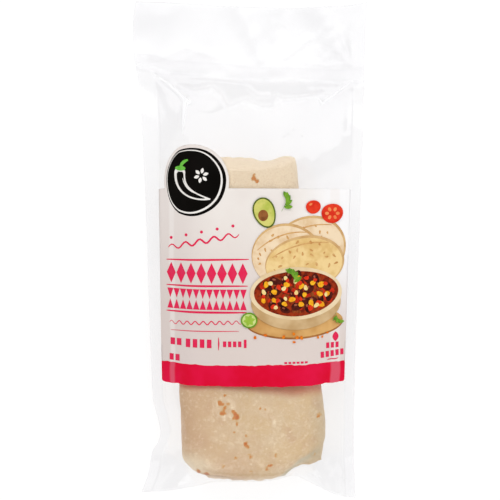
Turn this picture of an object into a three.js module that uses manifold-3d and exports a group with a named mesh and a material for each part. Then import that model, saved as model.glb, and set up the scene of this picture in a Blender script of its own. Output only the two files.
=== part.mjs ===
// A flour-tortilla burrito sealed in a clear film pouch, with a wide die-cut label across its front.
// The pack lies on its back. +Z is the front that is shown, and +Y runs up the pack, from the folded
// bottom end to the cut mouth. Sizes are in millimetres. The origin is on the surface that the pack
// lies on, under its middle.
// The pouch is one closed solid out to the film's outer faces, with the burrito's form under them.

import * as THREE from "three";
import { mergeVertices } from "three/addons/utils/BufferGeometryUtils.js";
import Module from "manifold-3d";

const wasm = await Module();
wasm.setup();

// The pouch. Each outline is a list of [along, value] stops that a smooth line runs through.
const POUCH_LENGTH = 238;
const END_Y = POUCH_LENGTH / 2;
const LEFT_SIDE = [
  [-119, -52.3], [-107, -48.2], [-98, -46.5], [-93, -43.7], [-89, -42.6], [-82, -43.6],
  [-72, -46], [28, -49.2], [71, -51.7], [90, -55], [107, -55.4], [119, -54.2],
];
const RIGHT_SIDE = [[-119, 51], [-94, 49.4], [-70, 49.5], [29, 52], [88, 54.2], [119, 55.4]];
const BOTTOM_EDGE = [
  [-52, -115.8], [-43, -115], [-28, -111.9], [-12, -108.8], [0, -108.9], [10, -108.2],
  [20, -106], [30, -110.4], [43, -117.3], [51, -119],
];
const MOUTH_EDGE = [[-54.2, 119], [-31, 118.1], [-5, 116.4], [22, 116], [43, 116.9], [55.4, 118.6]];
const LEFT_SEAL = [[-119, 4.6], [-60, 4.8], [0, 5.9], [30, 6.4], [55, 7.8], [119, 8]];
const RIGHT_SEAL = 4.8;
const CROSS_SEAL = [81.4, 88.6];
const SEAL_THICKNESS = 0.6;

// Heights of the film's flat parts, midway between its two layers, from the bottom end to the mouth.
const SEAM_HEIGHT = [[-119, 10], [-104, 13], [40, 13], [80, 7.5], [100, 4], [119, 2.4]];
const EAR_DROOP = 4.5;
const EAR_INNER_X = 24;
const EAR_TOP_Y = -94;

// The burrito inside: its sides in plan, its two ends, and how far it bulges each way from its axis.
const BURRITO_LEFT = [[-108, -32.4], [-69, -32.7], [-63, -33.4], [46, -33]];
const BURRITO_RIGHT = [[-108, 34.6], [-95, 35.2], [-63, 33.1], [0, 27.4], [30, 23.4], [46, 22.2]];
const BOTTOM_END = [[-33, -98], [-28, -102], [-16, -107.4], [0, -108.4], [10, -108], [19, -106], [35, -97]];
const TOP_END = [[-33, 43.4], [-27, 45.6], [-2, 45], [7, 43.8], [17, 46.1], [20.4, 45.4], [22.4, 43.4]];
const AXIS_HEIGHT = 13;
const FRONT_BULGE = [[-100, 15.4], [-40, 15.2], [10, 13.6], [46, 12.2]];
const BACK_BULGE = 13.9;
const SECTION_POWER = 3.4;
const BOTTOM_ROUND = 11;
const TOP_ROUND = 8;
const LUMP_HEIGHT = 0.45;
const LUMP_LENGTH = 34;

// Folds in the film, each a ridge: where it starts, where it ends, how wide and how high it gets there.
// A fold starts at a share of its full width.
const FOLD_START_WIDTH = 0.3;
const FOLDS = [
  { from: [6, 89], to: [-6, 118], width: 7, height: 1.6 },
  { from: [6, 89], to: [17, 118], width: 6, height: -1.4 },
  { from: [48, 89], to: [30, 117], width: 8, height: 1.8 },
  { from: [48, 89], to: [50, 118], width: 5, height: -1.2 },
  { from: [-46, 88], to: [-40, 116], width: 9, height: 1.2 },
  { from: [-46, 86], to: [-31, 64], width: 6, height: 1.5 },
  { from: [47, 81], to: [34, 68], width: 5, height: 1.3 },
];

// The label: its straight edges, and the round bump of its badge, which stands above the top edge.
const LABEL_BOTTOM = -60.1;
const LABEL_TOP = 30.3;
const LABEL_THICKNESS = 0.35;
const LABEL_GAP = 0.35;
const LABEL_MARGIN = 0.2;
const BADGE_CENTRE = [-26.7, 33.6];
const BADGE_RADIUS = 17.2;
const BADGE_LEFT_RADIUS = 13.2;
const CUTTER_HEIGHT = 60;
const CURVE_STEPS = 20;
const SAME_POINT = 1e-4;

// The grid of the film: rows up the pack, and columns across it, closer where the film turns.
const ROWS = [
  ...steps(-END_Y, -96, 9), ...steps(-96, 32, 20), ...steps(32, 52, 8), ...steps(52, CROSS_SEAL[0], 7),
  ...steps(...CROSS_SEAL, 2), ...steps(CROSS_SEAL[1], END_Y, 6), END_Y,
];
const COLUMNS = 32;
const SIDE_CROWDING = 0.6;
const FILM_SWEEPS = 500;
const FILM_STEP = 1.5;
const AIR_LIFT = 0.03;

// The start of each of count equal steps.
function steps(from, to, count) {
  return Array.from({ length: count }, (_, i) => from + ((to - from) * i) / count);
}

// A smooth line through [along, value] stops that never swings past them.
function through(stops, along) {
  const at = THREE.MathUtils.clamp(along, stops[0][0], stops.at(-1)[0]);
  let i = 0;
  while (i < stops.length - 2 && at > stops[i + 1][0]) i += 1;
  const slope = (k) => (stops[k + 1][1] - stops[k][1]) / (stops[k + 1][0] - stops[k][0]);
  const tangent = (a, b) => (a * b > 0 ? (2 * a * b) / (a + b) : 0);
  const here = slope(i);
  const first = i > 0 ? tangent(slope(i - 1), here) : here;
  const second = i < stops.length - 2 ? tangent(here, slope(i + 1)) : here;
  const span = stops[i + 1][0] - stops[i][0];
  const t = (at - stops[i][0]) / span;
  const rest = 1 - t;
  return stops[i][1] * (1 + 2 * t) * rest * rest + stops[i + 1][1] * (3 - 2 * t) * t * t
    + span * t * rest * (first * rest - second * t);
}

// The quarter-circle rise of a rounded end, from 0 at the end to 1 at a full radius in.
function rounded(share) {
  return share >= 1 ? 1 : Math.sqrt(Math.max(0, 1 - (1 - share) ** 2));
}

// How far the film's folds lift it at a point in plan.
function foldLift(x, y) {
  let lift = 0;
  for (const { from, to, width, height } of FOLDS) {
    const start = new THREE.Vector2(...from);
    const along = new THREE.Vector2(...to).sub(start);
    const length = along.length();
    const away = new THREE.Vector2(x, y).sub(start);
    const t = away.dot(along) / length ** 2;
    const off = away.cross(along) / length;
    const spread = width * THREE.MathUtils.lerp(FOLD_START_WIDTH, 1, THREE.MathUtils.clamp(t, 0, 1));
    const rise = THREE.MathUtils.smoothstep(t, -0.1, 0.3);
    const fade = 1 - THREE.MathUtils.smoothstep(t, 0.95, 1.2);
    lift += height * rise * fade * Math.exp(-((2 * off / spread) ** 2));
  }
  return lift;
}

// The height midway between the film's two layers where they lie together.
function seamHeight(x, y) {
  const outward = THREE.MathUtils.smoothstep(Math.abs(x), EAR_INNER_X, 52);
  const downward = 1 - THREE.MathUtils.smoothstep(y, -END_Y, EAR_TOP_Y);
  return through(SEAM_HEIGHT, y) - EAR_DROOP * outward * downward;
}

// The burrito's upper and lower surface at a point in plan, or null beside it.
function burritoAt(x, y) {
  const left = through(BURRITO_LEFT, y);
  const right = through(BURRITO_RIGHT, y);
  const across = Math.abs((2 * x - left - right) / (right - left));
  const fromBottom = y - through(BOTTOM_END, x);
  const fromTop = through(TOP_END, x) - y;
  if (across >= 1 || fromBottom <= 0 || fromTop <= 0) return null;
  const side = (1 - across ** SECTION_POWER) ** (1 / SECTION_POWER);
  const full = side * rounded(fromBottom / BOTTOM_ROUND) * rounded(fromTop / TOP_ROUND);
  const turn = (2 * Math.PI) / LUMP_LENGTH;
  const lump = LUMP_HEIGHT * (Math.sin(turn * (x + 0.4 * y)) + Math.sin(turn * (0.8 * y - 0.5 * x) + 1));
  return {
    front: AXIS_HEIGHT + (through(FRONT_BULGE, y) + lump) * full,
    back: Math.max(0, AXIS_HEIGHT - BACK_BULGE * full),
  };
}

// The places in plan of the film's grid, a row for each of ROWS from the left edge to the right one.
function filmPlan() {
  const shares = Array.from({ length: COLUMNS + 1 }, (_, i) => {
    const even = i / COLUMNS;
    const crowded = (1 - Math.cos(Math.PI * even)) / 2;
    return THREE.MathUtils.lerp(even, crowded, SIDE_CROWDING);
  });
  return ROWS.map((along) => {
    const left = through(LEFT_SIDE, along);
    const right = through(RIGHT_SIDE, along);
    const inside = [left + through(LEFT_SEAL, along), right - RIGHT_SEAL];
    const across = [left, ...shares.map((s) => THREE.MathUtils.lerp(...inside, s)), right];
    const up = (along + END_Y) / POUCH_LENGTH;
    return across.map((x) => {
      const y = THREE.MathUtils.lerp(through(BOTTOM_EDGE, x), through(MOUTH_EDGE, x), up);
      return { x, y, along };
    });
  });
}

// True where the two layers lie together: the seals, the bottom fold and the flap above the cross seal.
function isJoined(plan, row, column) {
  const edge = row === 0 || column <= 1 || column >= plan[row].length - 2;
  return edge || plan[row][column].along >= CROSS_SEAL[0];
}

// The heights of one layer, drawn tight over the burrito between its seams. side is 1 in front, -1 behind.
function filmHeights(plan, side) {
  const half = (side * SEAL_THICKNESS) / 2;
  const seam = plan.map((row) => row.map(({ x, y }) => seamHeight(x, y) + foldLift(x, y) + half));
  const height = seam.map((row) => [...row]);
  const under = plan.map((row) => row.map(({ x, y }) => burritoAt(x, y)));
  for (let sweep = 0; sweep < FILM_SWEEPS; sweep += 1) {
    for (let r = 1; r < plan.length - 1; r += 1) {
      for (let c = 2; c < plan[r].length - 2; c += 1) {
        if (isJoined(plan, r, c)) continue;
        const here = plan[r][c];
        const [a, b, d, e] = [plan[r][c - 1], plan[r][c + 1], plan[r - 1][c], plan[r + 1][c]];
        const wide = 1 / (here.x - a.x) + 1 / (b.x - here.x);
        const tall = 1 / (here.y - d.y) + 1 / (e.y - here.y);
        const acrossPull = (height[r][c - 1] / (here.x - a.x) + height[r][c + 1] / (b.x - here.x)) / wide;
        const alongPull = (height[r - 1][c] / (here.y - d.y) + height[r + 1][c] / (e.y - here.y)) / tall;
        const share = (wide / (b.x - a.x)) / (wide / (b.x - a.x) + tall / (e.y - d.y));
        const pulled = acrossPull * share + alongPull * (1 - share) + side * AIR_LIFT;
        const moved = height[r][c] + FILM_STEP * (pulled - height[r][c]);
        const held = under[r][c]?.[side > 0 ? "front" : "back"] ?? seam[r][c];
        const outermost = side > 0 ? Math.max : Math.min;
        height[r][c] = Math.max(0, outermost(moved, held, seam[r][c]));
      }
    }
  }
  return height;
}

// A closed geometry between two sheets of points over the same grid.
function slab(upper, lower) {
  const rows = upper.length;
  const columns = upper[0].length;
  const points = [...upper.flat(), ...lower.flat()];
  const top = (r, c) => r * columns + c;
  const bottom = (r, c) => rows * columns + r * columns + c;
  const faces = [];
  const quad = (a, b, c, d) => faces.push(a, b, c, a, c, d);
  for (let r = 0; r < rows - 1; r += 1) {
    for (let c = 0; c < columns - 1; c += 1) {
      quad(top(r, c), top(r, c + 1), top(r + 1, c + 1), top(r + 1, c));
      quad(bottom(r, c), bottom(r + 1, c), bottom(r + 1, c + 1), bottom(r, c + 1));
    }
    quad(bottom(r, 0), top(r, 0), top(r + 1, 0), bottom(r + 1, 0));
    quad(top(r, columns - 1), bottom(r, columns - 1), bottom(r + 1, columns - 1), top(r + 1, columns - 1));
  }
  for (let c = 0; c < columns - 1; c += 1) {
    quad(top(0, c), bottom(0, c), bottom(0, c + 1), top(0, c + 1));
    quad(bottom(rows - 1, c), top(rows - 1, c), top(rows - 1, c + 1), bottom(rows - 1, c + 1));
  }
  const geometry = new THREE.BufferGeometry();
  geometry.setAttribute("position", new THREE.Float32BufferAttribute(points.flat(), 3));
  geometry.setIndex(faces);
  return geometry;
}

// A sheet of points at a height above the film's grid.
function sheet(plan, heights, lift) {
  return plan.map((row, r) => row.map(({ x, y }, c) => [x, y, heights[r][c] + lift]));
}

// A closed geometry as a solid that can be cut.
function solidFrom(geometry) {
  const bare = geometry.clone();
  bare.deleteAttribute("normal");
  bare.deleteAttribute("uv");
  const merged = mergeVertices(bare, SAME_POINT);
  return new wasm.Manifold(new wasm.Mesh({
    numProp: 3,
    vertProperties: merged.attributes.position.array,
    triVerts: new Uint32Array(merged.index.array),
  }));
}

// A cut solid as a geometry.
function geometryFrom(solid) {
  const mesh = solid.getMesh();
  const geometry = new THREE.BufferGeometry();
  geometry.setAttribute("position", new THREE.BufferAttribute(mesh.vertProperties, 3));
  geometry.setIndex(new THREE.BufferAttribute(mesh.triVerts, 1));
  return geometry;
}

// The label's outline in plan. Its sides stop just inside the side seals.
function labelOutline() {
  const [badgeX, badgeY] = BADGE_CENTRE;
  const left = (y) => through(LEFT_SIDE, y) + through(LEFT_SEAL, y) + LABEL_MARGIN;
  const right = (y) => through(RIGHT_SIDE, y) - RIGHT_SEAL - LABEL_MARGIN;
  const outline = new THREE.Shape();
  outline.moveTo(left(LABEL_BOTTOM), LABEL_BOTTOM);
  outline.lineTo(right(LABEL_BOTTOM), LABEL_BOTTOM);
  outline.lineTo(right(LABEL_TOP), LABEL_TOP);
  const drop = LABEL_TOP - badgeY;
  const meet = Math.asin(drop / BADGE_RADIUS);
  outline.lineTo(badgeX + BADGE_RADIUS * Math.cos(meet), LABEL_TOP);
  outline.absellipse(badgeX, badgeY, BADGE_RADIUS, BADGE_RADIUS, meet, Math.PI / 2);
  outline.absellipse(badgeX, badgeY, BADGE_LEFT_RADIUS, BADGE_RADIUS, Math.PI / 2, Math.PI - meet);
  outline.lineTo(left(LABEL_TOP), LABEL_TOP);
  outline.closePath();
  return outline;
}

// The pouch with what it holds.
function pouch(plan, front, back) {
  const material = new THREE.MeshStandardMaterial({ color: 0xd8be98, roughness: 0.35, metalness: 0 });
  const mesh = new THREE.Mesh(slab(sheet(plan, front, 0), sheet(plan, back, 0)), material);
  mesh.name = "bag";
  return mesh;
}

// The label, which follows the film under it and is cut to its outline.
function label(plan, front) {
  const inner = plan.map((row) => row.slice(1, -1));
  const heights = front.map((row) => row.slice(1, -1));
  const over = slab(sheet(inner, heights, LABEL_GAP + LABEL_THICKNESS), sheet(inner, heights, LABEL_GAP));
  const settings = { depth: CUTTER_HEIGHT, bevelEnabled: false, curveSegments: CURVE_STEPS };
  const cutter = new THREE.ExtrudeGeometry(labelOutline(), settings);
  const cut = solidFrom(over).intersect(solidFrom(cutter));
  const material = new THREE.MeshStandardMaterial({ color: 0xe0d3cb, roughness: 0.45, metalness: 0 });
  const mesh = new THREE.Mesh(geometryFrom(cut), material);
  mesh.name = "label";
  return mesh;
}

const plan = filmPlan();
const front = filmHeights(plan, 1);
const back = filmHeights(plan, -1);
const pack = new THREE.Group();
pack.add(pouch(plan, front, back), label(plan, front));

export default pack;
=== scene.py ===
"""A burrito in a clear film pouch with a printed label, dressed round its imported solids.

The pack lies on its back with its front up: +Z is the front, and +Y runs from the folded bottom end to
the mouth. Shapes are worked out in millimetres, and MM turns them into Blender's metres.
"""

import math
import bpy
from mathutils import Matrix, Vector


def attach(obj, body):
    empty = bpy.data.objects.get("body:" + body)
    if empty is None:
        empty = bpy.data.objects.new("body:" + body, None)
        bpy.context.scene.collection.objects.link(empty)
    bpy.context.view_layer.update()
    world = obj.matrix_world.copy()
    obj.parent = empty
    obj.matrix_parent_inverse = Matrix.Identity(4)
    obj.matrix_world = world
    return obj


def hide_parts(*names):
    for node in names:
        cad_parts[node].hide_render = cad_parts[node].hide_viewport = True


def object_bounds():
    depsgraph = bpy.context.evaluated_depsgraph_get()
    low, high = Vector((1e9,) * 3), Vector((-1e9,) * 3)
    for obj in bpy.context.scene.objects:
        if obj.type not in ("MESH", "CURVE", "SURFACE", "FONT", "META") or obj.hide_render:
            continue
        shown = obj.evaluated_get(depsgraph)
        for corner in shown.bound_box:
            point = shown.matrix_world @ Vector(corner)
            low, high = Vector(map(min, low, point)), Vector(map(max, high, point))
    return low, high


bl_info = {
    "name": "Burrito in a clear pouch",
    "version": (1, 0, 0),
    "blender": (4, 5, 0),
    "location": "View3D > Sidebar > Burrito",
    "description": "Builds the film, the tortilla, the label and its print, and a studio round them",
    "category": "Add Mesh",
}

import bmesh
import bpy
import numpy as np
from mathutils import Vector
from mathutils.bvhtree import BVHTree

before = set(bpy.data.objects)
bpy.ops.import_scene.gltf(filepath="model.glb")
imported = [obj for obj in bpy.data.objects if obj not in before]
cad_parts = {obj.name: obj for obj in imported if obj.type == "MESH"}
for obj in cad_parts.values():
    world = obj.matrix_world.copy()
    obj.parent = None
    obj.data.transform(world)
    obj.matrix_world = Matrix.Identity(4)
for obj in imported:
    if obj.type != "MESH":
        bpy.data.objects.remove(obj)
CAD_LOW, CAD_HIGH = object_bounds()

MM = 0.001
BODY = "root"
FILM_INDEX = 1.5
MIST_SHARE = 0.25
UP = Vector((0, 0, 1))

# The pouch in plan, as stops that a smooth line runs through. Its sides and their seals are given by
# where they are along the pack, its two ends and the cross seal's drift by where they are across it.
END_Y = CAD_HIGH.y / MM
LEFT_SIDE = [
    (-119, -52.3), (-107, -48.2), (-98, -46.5), (-93, -43.7), (-89, -42.6), (-82, -43.6),
    (-72, -46), (28, -49.2), (71, -51.7), (90, -55), (107, -55.4), (119, -54.2),
]
RIGHT_SIDE = [(-119, 51), (-94, 49.4), (-70, 49.5), (29, 52), (88, 54.2), (119, 55.4)]
BOTTOM_EDGE = [
    (-52, -115.8), (-43, -115), (-28, -111.9), (-12, -108.8), (0, -108.9), (10, -108.2),
    (20, -106), (30, -110.4), (43, -117.3), (51, -119),
]
MOUTH_EDGE = [(-54.2, 119), (-31, 118.1), (-5, 116.4), (22, 116), (43, 116.9), (55.4, 118.6)]
LEFT_SEAL = [(-119, 4.6), (-60, 4.8), (0, 5.9), (30, 6.4), (55, 7.8), (119, 8)]
RIGHT_SEAL = 4.8
POCKET_WIDTH = 98
CROSS_SEAL = (81.4, 88.6)
SEAL_MIDDLE = 85
SEAL_DRIFT = [(-55, 5.2), (-45, 4.4), (-38, 2), (-11, 0.9), (10, -0.6), (55, -0.9)]

# The burrito in plan and in height.
BURRITO_LEFT = [(-108, -32.4), (-90, -32.8), (-72, -33.5), (-62, -34.3), (46, -33.4)]
BURRITO_RIGHT = [(-108, 35.4), (-95, 36), (-63, 33.1), (0, 27.4), (30, 23.4), (46, 22.2)]
TOP_END = [(-33, 43.4), (-27, 45.6), (-2, 45), (7, 43.8), (17, 46.1), (20.4, 45.4), (22.4, 43.4)]
TOP_Y = 45
AXIS_HEIGHT = 13
FRONT_BULGE = [(-100, 15.4), (-40, 15.2), (10, 13.6), (46, 12.2)]
BACK_BULGE = 13.9
SECTION_POWER, SECTION_STEPS = 3.4, 6000
HALF_WIDTH, HALF_HEIGHT = 33, 14
BOTTOM_ROUND, TOP_ROUND = 11, 8
LUMP_HEIGHT, LUMP_LENGTH = 0.45, 34

# The label in plan.
LABEL_BOTTOM = -60.1
LABEL_TOP = 30.3
LABEL_MARGIN = 0.2
LABEL_CORNER, LABEL_TOP_CORNER = 1, 0.6
LABEL_LIFT = 0.9
BADGE_X, BADGE_Y = -26.7, 33.6
BADGE_RADIUS = 17.2
BADGE_FLAT = 6
BADGE_SLOPE = 0.643


def tone(red, green, blue):
    """A screen colour from 0 to 255 as Blender's linear colour."""
    return tuple(c / 12.92 if c <= 0.04045 else ((c + 0.055) / 1.055) ** 2.4
                 for c in (v / 255 for v in (red, green, blue)))


def colour(name, description, value):
    """A colour that a user can change."""
    return bpy.props.FloatVectorProperty(
        name=name, description=description, default=tone(*value), subtype="COLOR", min=0, max=1)


def length(name, description, value):
    """A length that a user can change, in metres."""
    return bpy.props.FloatProperty(name=name, description=description, default=value, unit="LENGTH")


def power(name, description, value):
    """A light's power that a user can change, in watts."""
    return bpy.props.FloatProperty(name=name, description=description, default=value, min=0, unit="POWER")


def amount(name, description, value):
    """A plain number that a user can change."""
    return bpy.props.FloatProperty(name=name, description=description, default=value)


class FilmSettings(bpy.types.PropertyGroup):
    seal_gap: length("Seal gap", "Space between the two layers of film where they are sealed", 0.00016)
    crease: amount("Crease", "How deep the film's creases are, as a share of the usual", 1)
    tint: colour("Tint", "Colour of what one layer of very misty film lets through", (243, 242.5, 243.5))
    gloss: amount("Gloss roughness", "How blurred the film's reflections are", 0.09)
    rubbed_gloss: amount("Flap roughness", "How blurred the reflections are on the flap", 0.34)
    haze: amount("Haze", "Share of light that the clear film scatters", 0.006)
    rim_haze: amount("Rim haze", "Share of light that the cut edge scatters", 0.08)
    # The next setting is the strength of the painted highlights along the folds: white scattered light in
    # place of reflections of the lights.
    painted_highlight_strength: amount("Fold haze", "Share of light that folds turned white scatter", 0.9)


class TortillaSettings(bpy.types.PropertyGroup):
    clearance: length("Clearance", "Space between the tortilla and the film's measured form", 0.00035)
    dough: colour("Dough", "Colour of the plain tortilla", (221, 193, 154))
    # Pale is also the painted light over the front of the upper end.
    pale: colour("Pale", "Colour where the tortilla is floury and raised", (246, 226, 195))
    golden: colour("Golden", "Colour where the tortilla is a little oily", (219, 188, 142))
    # Warm is also the painted shade down the left side.
    warm: colour("Warm", "Colour where the tortilla is lightly browned", (210, 172, 134))
    # The next colour paints shade in the folded end's recess and film reflection along the right side.
    painted_shade_and_glare: colour("Cool", "Colour in the shade of its folds", (198, 188, 161))
    toast: colour("Toast", "Colour of the toasted spots", (208, 128, 54))
    scorch: colour("Scorch", "Colour in the middle of the toasted spots", (196, 100, 44))
    halo: colour("Halo", "Colour round the toasted spots", (212, 168, 102))
    # The next colour paints shade along the edges of the layers.
    painted_crevice_shade: colour("Crevice", "Colour deep beside the edges of the layers", (146, 96, 58))
    # The next colour paints the label's shadow on the tortilla, with the band's red reflected into it.
    painted_label_shadow: colour("Blush", "Colour of the shade under the label's edge", (190, 108, 74))
    blister: length("Blister", "Height of the blisters", 0.00028)


class LabelSettings(bpy.types.PropertyGroup):
    gap: length("Gap", "Space between the label and the film", 0.00035)
    thickness: length("Thickness", "Thickness of the label", 0.00035)
    paper: colour("Paper", "Colour of the label's upper part", (237, 231, 225))
    paper_low: colour("Lower paper", "Colour of the label's lower part", (219, 205, 198))
    band: colour("Band", "Colour of the band along the bottom", (224, 20, 66))
    badge: colour("Badge", "Colour of the round badge", (8, 6, 4))
    band_height: length("Band height", "Height of the band along the bottom", 0.0097)
    ink: length("Ink", "Height of one layer of print", 0.00004)


class StageSettings(bpy.types.PropertyGroup):
    floor: colour("Floor", "Colour of the floor", (150, 150, 151))
    glow: amount("Floor glow", "Light that the light table gives off", 0.74)
    key: power("Key light", "Power of the light over the mouth", 2.35)
    strip: power("Strip light", "Power of the low light beyond the mouth", 0.6)
    fill: power("Side lights", "Power of each side light", 0.5)
    foot: power("Foot light", "Power of the light before the folded end", 1.6)
    zenith: amount("Zenith", "Strength of the even light from overhead", 0.75)
    horizon: amount("Horizon", "Strength of the even light from low down", 0.35)
    camera_height: length("Camera height", "Height of the camera over the floor", 0.513)
    camera_foot: length("Camera foot", "How far towards the mouth the camera stands", 0.0306)
    aim: length("Aim", "How far towards the mouth the camera points", 0.0016)
    lens: bpy.props.FloatProperty(
        name="Lens", description="Focal length", default=76.72, subtype="DISTANCE_CAMERA")


def through(stops, along):
    """A smooth line through stops, given as place and value, that never swings past them."""
    at, value = np.array(stops, float).T
    slope = np.diff(value) / np.diff(at)
    before, after = slope[:-1], slope[1:]
    total = np.where(before + after == 0, 1, before + after)
    inner = np.where(before * after > 0, 2 * before * after / total, 0)
    tangent = np.concatenate((slope[:1], inner, slope[-1:]))
    x = np.clip(along, at[0], at[-1])
    i = np.clip(np.searchsorted(at, x) - 1, 0, len(slope) - 1)
    span = at[i + 1] - at[i]
    t = (x - at[i]) / span
    rest = 1 - t
    return (value[i] * (1 + 2 * t) * rest ** 2 + value[i + 1] * (3 - 2 * t) * t ** 2
            + span * t * rest * (tangent[i] * rest - tangent[i + 1] * t))


def smooth(value, low, high):
    """A smooth rise from 0 at low to 1 at high."""
    t = np.clip((value - low) / (high - low), 0, 1)
    return t * t * (3 - 2 * t)


def bell(value, middle, width):
    """1 at the middle, falling off smoothly on both sides over about the given width."""
    return np.exp(-(((value - middle) / width) ** 2))


def ripple(x, y, z, size, seed, count=28):
    """Smooth noise of about one unit either way, with bumps of about the given size."""
    draw = np.random.default_rng(seed)
    total = np.zeros_like(x, dtype=float)
    for _ in range(count):
        way = draw.normal(size=3)
        way *= draw.uniform(0.6, 1.5) * math.pi / size / np.linalg.norm(way)
        total += np.cos(way[0] * x + way[1] * y + way[2] * z + draw.uniform(0, 2 * math.pi))
    return total / math.sqrt(count)


def rows_of(mesh, what):
    """Three numbers of each vertex of a mesh, such as its place, as an array of rows."""
    flat = np.empty(len(mesh.vertices) * 3)
    mesh.vertices.foreach_get(what, flat)
    return flat.reshape(-1, 3)


def places(mesh):
    """The vertices of a mesh, in millimetres."""
    return rows_of(mesh, "co") / MM


def place(mesh, *points):
    """Puts the vertices of a mesh at places in millimetres, given as rows or as x, y and z."""
    rows = points[0] if len(points) == 1 else np.column_stack(points)
    mesh.vertices.foreach_set("co", (rows * MM).ravel())
    mesh.update()


def paint(mesh, name, values):
    """Stores a number for each vertex, which a material can read."""
    layer = mesh.attributes.new(name, "FLOAT", "POINT")
    layer.data.foreach_set("value", np.asarray(values, dtype=np.float32))


def only(*pieces):
    """Selects these pieces and nothing else, and makes the first one active."""
    bpy.ops.object.select_all(action="DESELECT")
    for piece in pieces:
        piece.select_set(True)
    bpy.context.view_layer.objects.active = pieces[0]


def grid(name, columns, rows):
    """A flat grid of faces, and the share across and up it of each vertex."""
    bpy.ops.object.select_all(action="DESELECT")
    bpy.ops.mesh.primitive_grid_add(x_subdivisions=columns, y_subdivisions=rows, size=1)
    piece = bpy.context.object
    piece.name = name
    across, up = np.clip(rows_of(piece.data, "co")[:, :2].T + 0.5, 0, 1)
    return piece, across, up


def edit(piece, *steps):
    """Runs mesh operators on all of a piece, each given as a function."""
    only(piece)
    bpy.ops.object.mode_set(mode="EDIT")
    bpy.ops.mesh.select_all(action="SELECT")
    for step in steps:
        step()
    bpy.ops.object.mode_set(mode="OBJECT")


def join(name, *parts):
    """Makes one piece of several."""
    only(*parts)
    bpy.ops.object.join()
    parts[0].name = name
    return parts[0]


def merge():
    """Merges the vertices that lie on each other."""
    bpy.ops.mesh.remove_doubles(threshold=0.00001)


def soften_shading(piece):
    """Smooth shading all over a piece."""
    piece.data.polygons.foreach_set("use_smooth", [True] * len(piece.data.polygons))


def tree_of(piece):
    """What rays and nearest points are found on."""
    points = [piece.matrix_world @ v.co for v in piece.data.vertices]
    return BVHTree.FromPolygons(points, [p.vertices for p in piece.data.polygons])


def heights_on(tree, x, y, side, missed=None):
    """A surface's height in millimetres at places in plan, seen from above (1) or below (-1).

    Where a place misses the surface, it is the height given for that, or the nearest point's.
    """
    found = np.empty(len(x))
    for i, (px, py) in enumerate(zip(x * MM, y * MM)):
        hit = tree.ray_cast(Vector((px, py, side)), UP * -side)[0]
        if hit is None and missed is None:
            hit = tree.find_nearest(Vector((px, py, AXIS_HEIGHT * MM)))[0]
        found[i] = missed if hit is None else hit.z / MM
    return found


def finish_piece(piece, slot, finish, *replaced):
    """Gives a piece its material and its body, and hides the imported parts that it replaces."""
    piece.data.materials.clear()
    piece.data.materials.append(finish)
    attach(piece, BODY)
    if replaced:
        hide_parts(*replaced)


def add_node(finish, kind, inputs=None, **settings):
    """A node with its settings, whose inputs are numbers, colours, other nodes or their outputs."""
    made = finish.node_tree.nodes.new("ShaderNode" + kind)
    for key, value in settings.items():
        setattr(made, key, value)
    for key, value in (inputs or {}).items():
        if isinstance(value, bpy.types.Node):
            value = value.outputs[0]
        if isinstance(value, bpy.types.NodeSocket):
            finish.node_tree.links.new(value, made.inputs[key])
        else:
            made.inputs[key].default_value = value
    return made


def new_finish(name):
    """A material with no nodes yet."""
    finish = bpy.data.materials.new(name)
    finish.use_nodes = True
    finish.node_tree.nodes.clear()
    return finish


def show(finish, shader):
    """Sends a shader to the material's output."""
    add_node(finish, "OutputMaterial", {"Surface": shader})
    return finish


def surface(finish, colour_now, roughness, specular, more):
    """Ends a material in a plain surface, with more of its inputs by name."""
    return show(finish, add_node(finish, "BsdfPrincipled", {
        "Base Color": colour_now, "Roughness": roughness, "Specular IOR Level": specular, **more}))


def object_place(finish):
    """Each point's place on the piece, in metres."""
    return add_node(finish, "TexCoord").outputs["Object"]


def noise(finish, scale, detail=3, roughness=0.5, stretch=(1, 1, 1)):
    """Noise of so many bumps in a metre, stretched along the axes."""
    mapped = add_node(finish, "Mapping", {"Vector": object_place(finish), "Scale": stretch})
    made = add_node(finish, "TexNoise", {
        "Vector": mapped, "Scale": scale, "Detail": detail, "Roughness": roughness})
    return made.outputs["Fac"]


def ramp(finish, value, low, high, start=0, end=1):
    """A smooth step of a value from low to high."""
    made = add_node(finish, "MapRange", {
        "Value": value, "From Min": low, "From Max": high, "To Min": start, "To Max": end},
        interpolation_type="SMOOTHSTEP")
    return made.outputs["Result"]


def coated(finish, below, coats):
    """A colour with others laid over it in turn, each given as a share and a colour."""
    below = (*below, 1)
    for share, cover in coats:
        mixed = add_node(finish, "Mix", {0: share, 6: below, 7: (*cover, 1)}, data_type="RGBA")
        below = mixed.outputs[2]
    return below


def math_node(finish, operation, *values, held=False):
    """What an operation makes of values, kept between 0 and 1 if it is held."""
    made = add_node(finish, "Math", dict(enumerate(values)), operation=operation, use_clamp=held)
    return made.outputs["Value"]


def times(finish, first, second, added=0.0):
    """A value multiplied by another, with a third added."""
    return math_node(finish, "MULTIPLY_ADD", first, second, added)


def painted(finish, name, share=1.0):
    """A share of what is painted on the piece under a name."""
    return times(finish, add_node(finish, "Attribute", attribute_name=name).outputs["Fac"], share)


def bump(finish, height, distance, strength):
    """Fine relief, as the input of a surface."""
    made = add_node(finish, "Bump", {"Height": height, "Distance": distance, "Strength": strength})
    return {"Normal": made.outputs["Normal"]}


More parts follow.
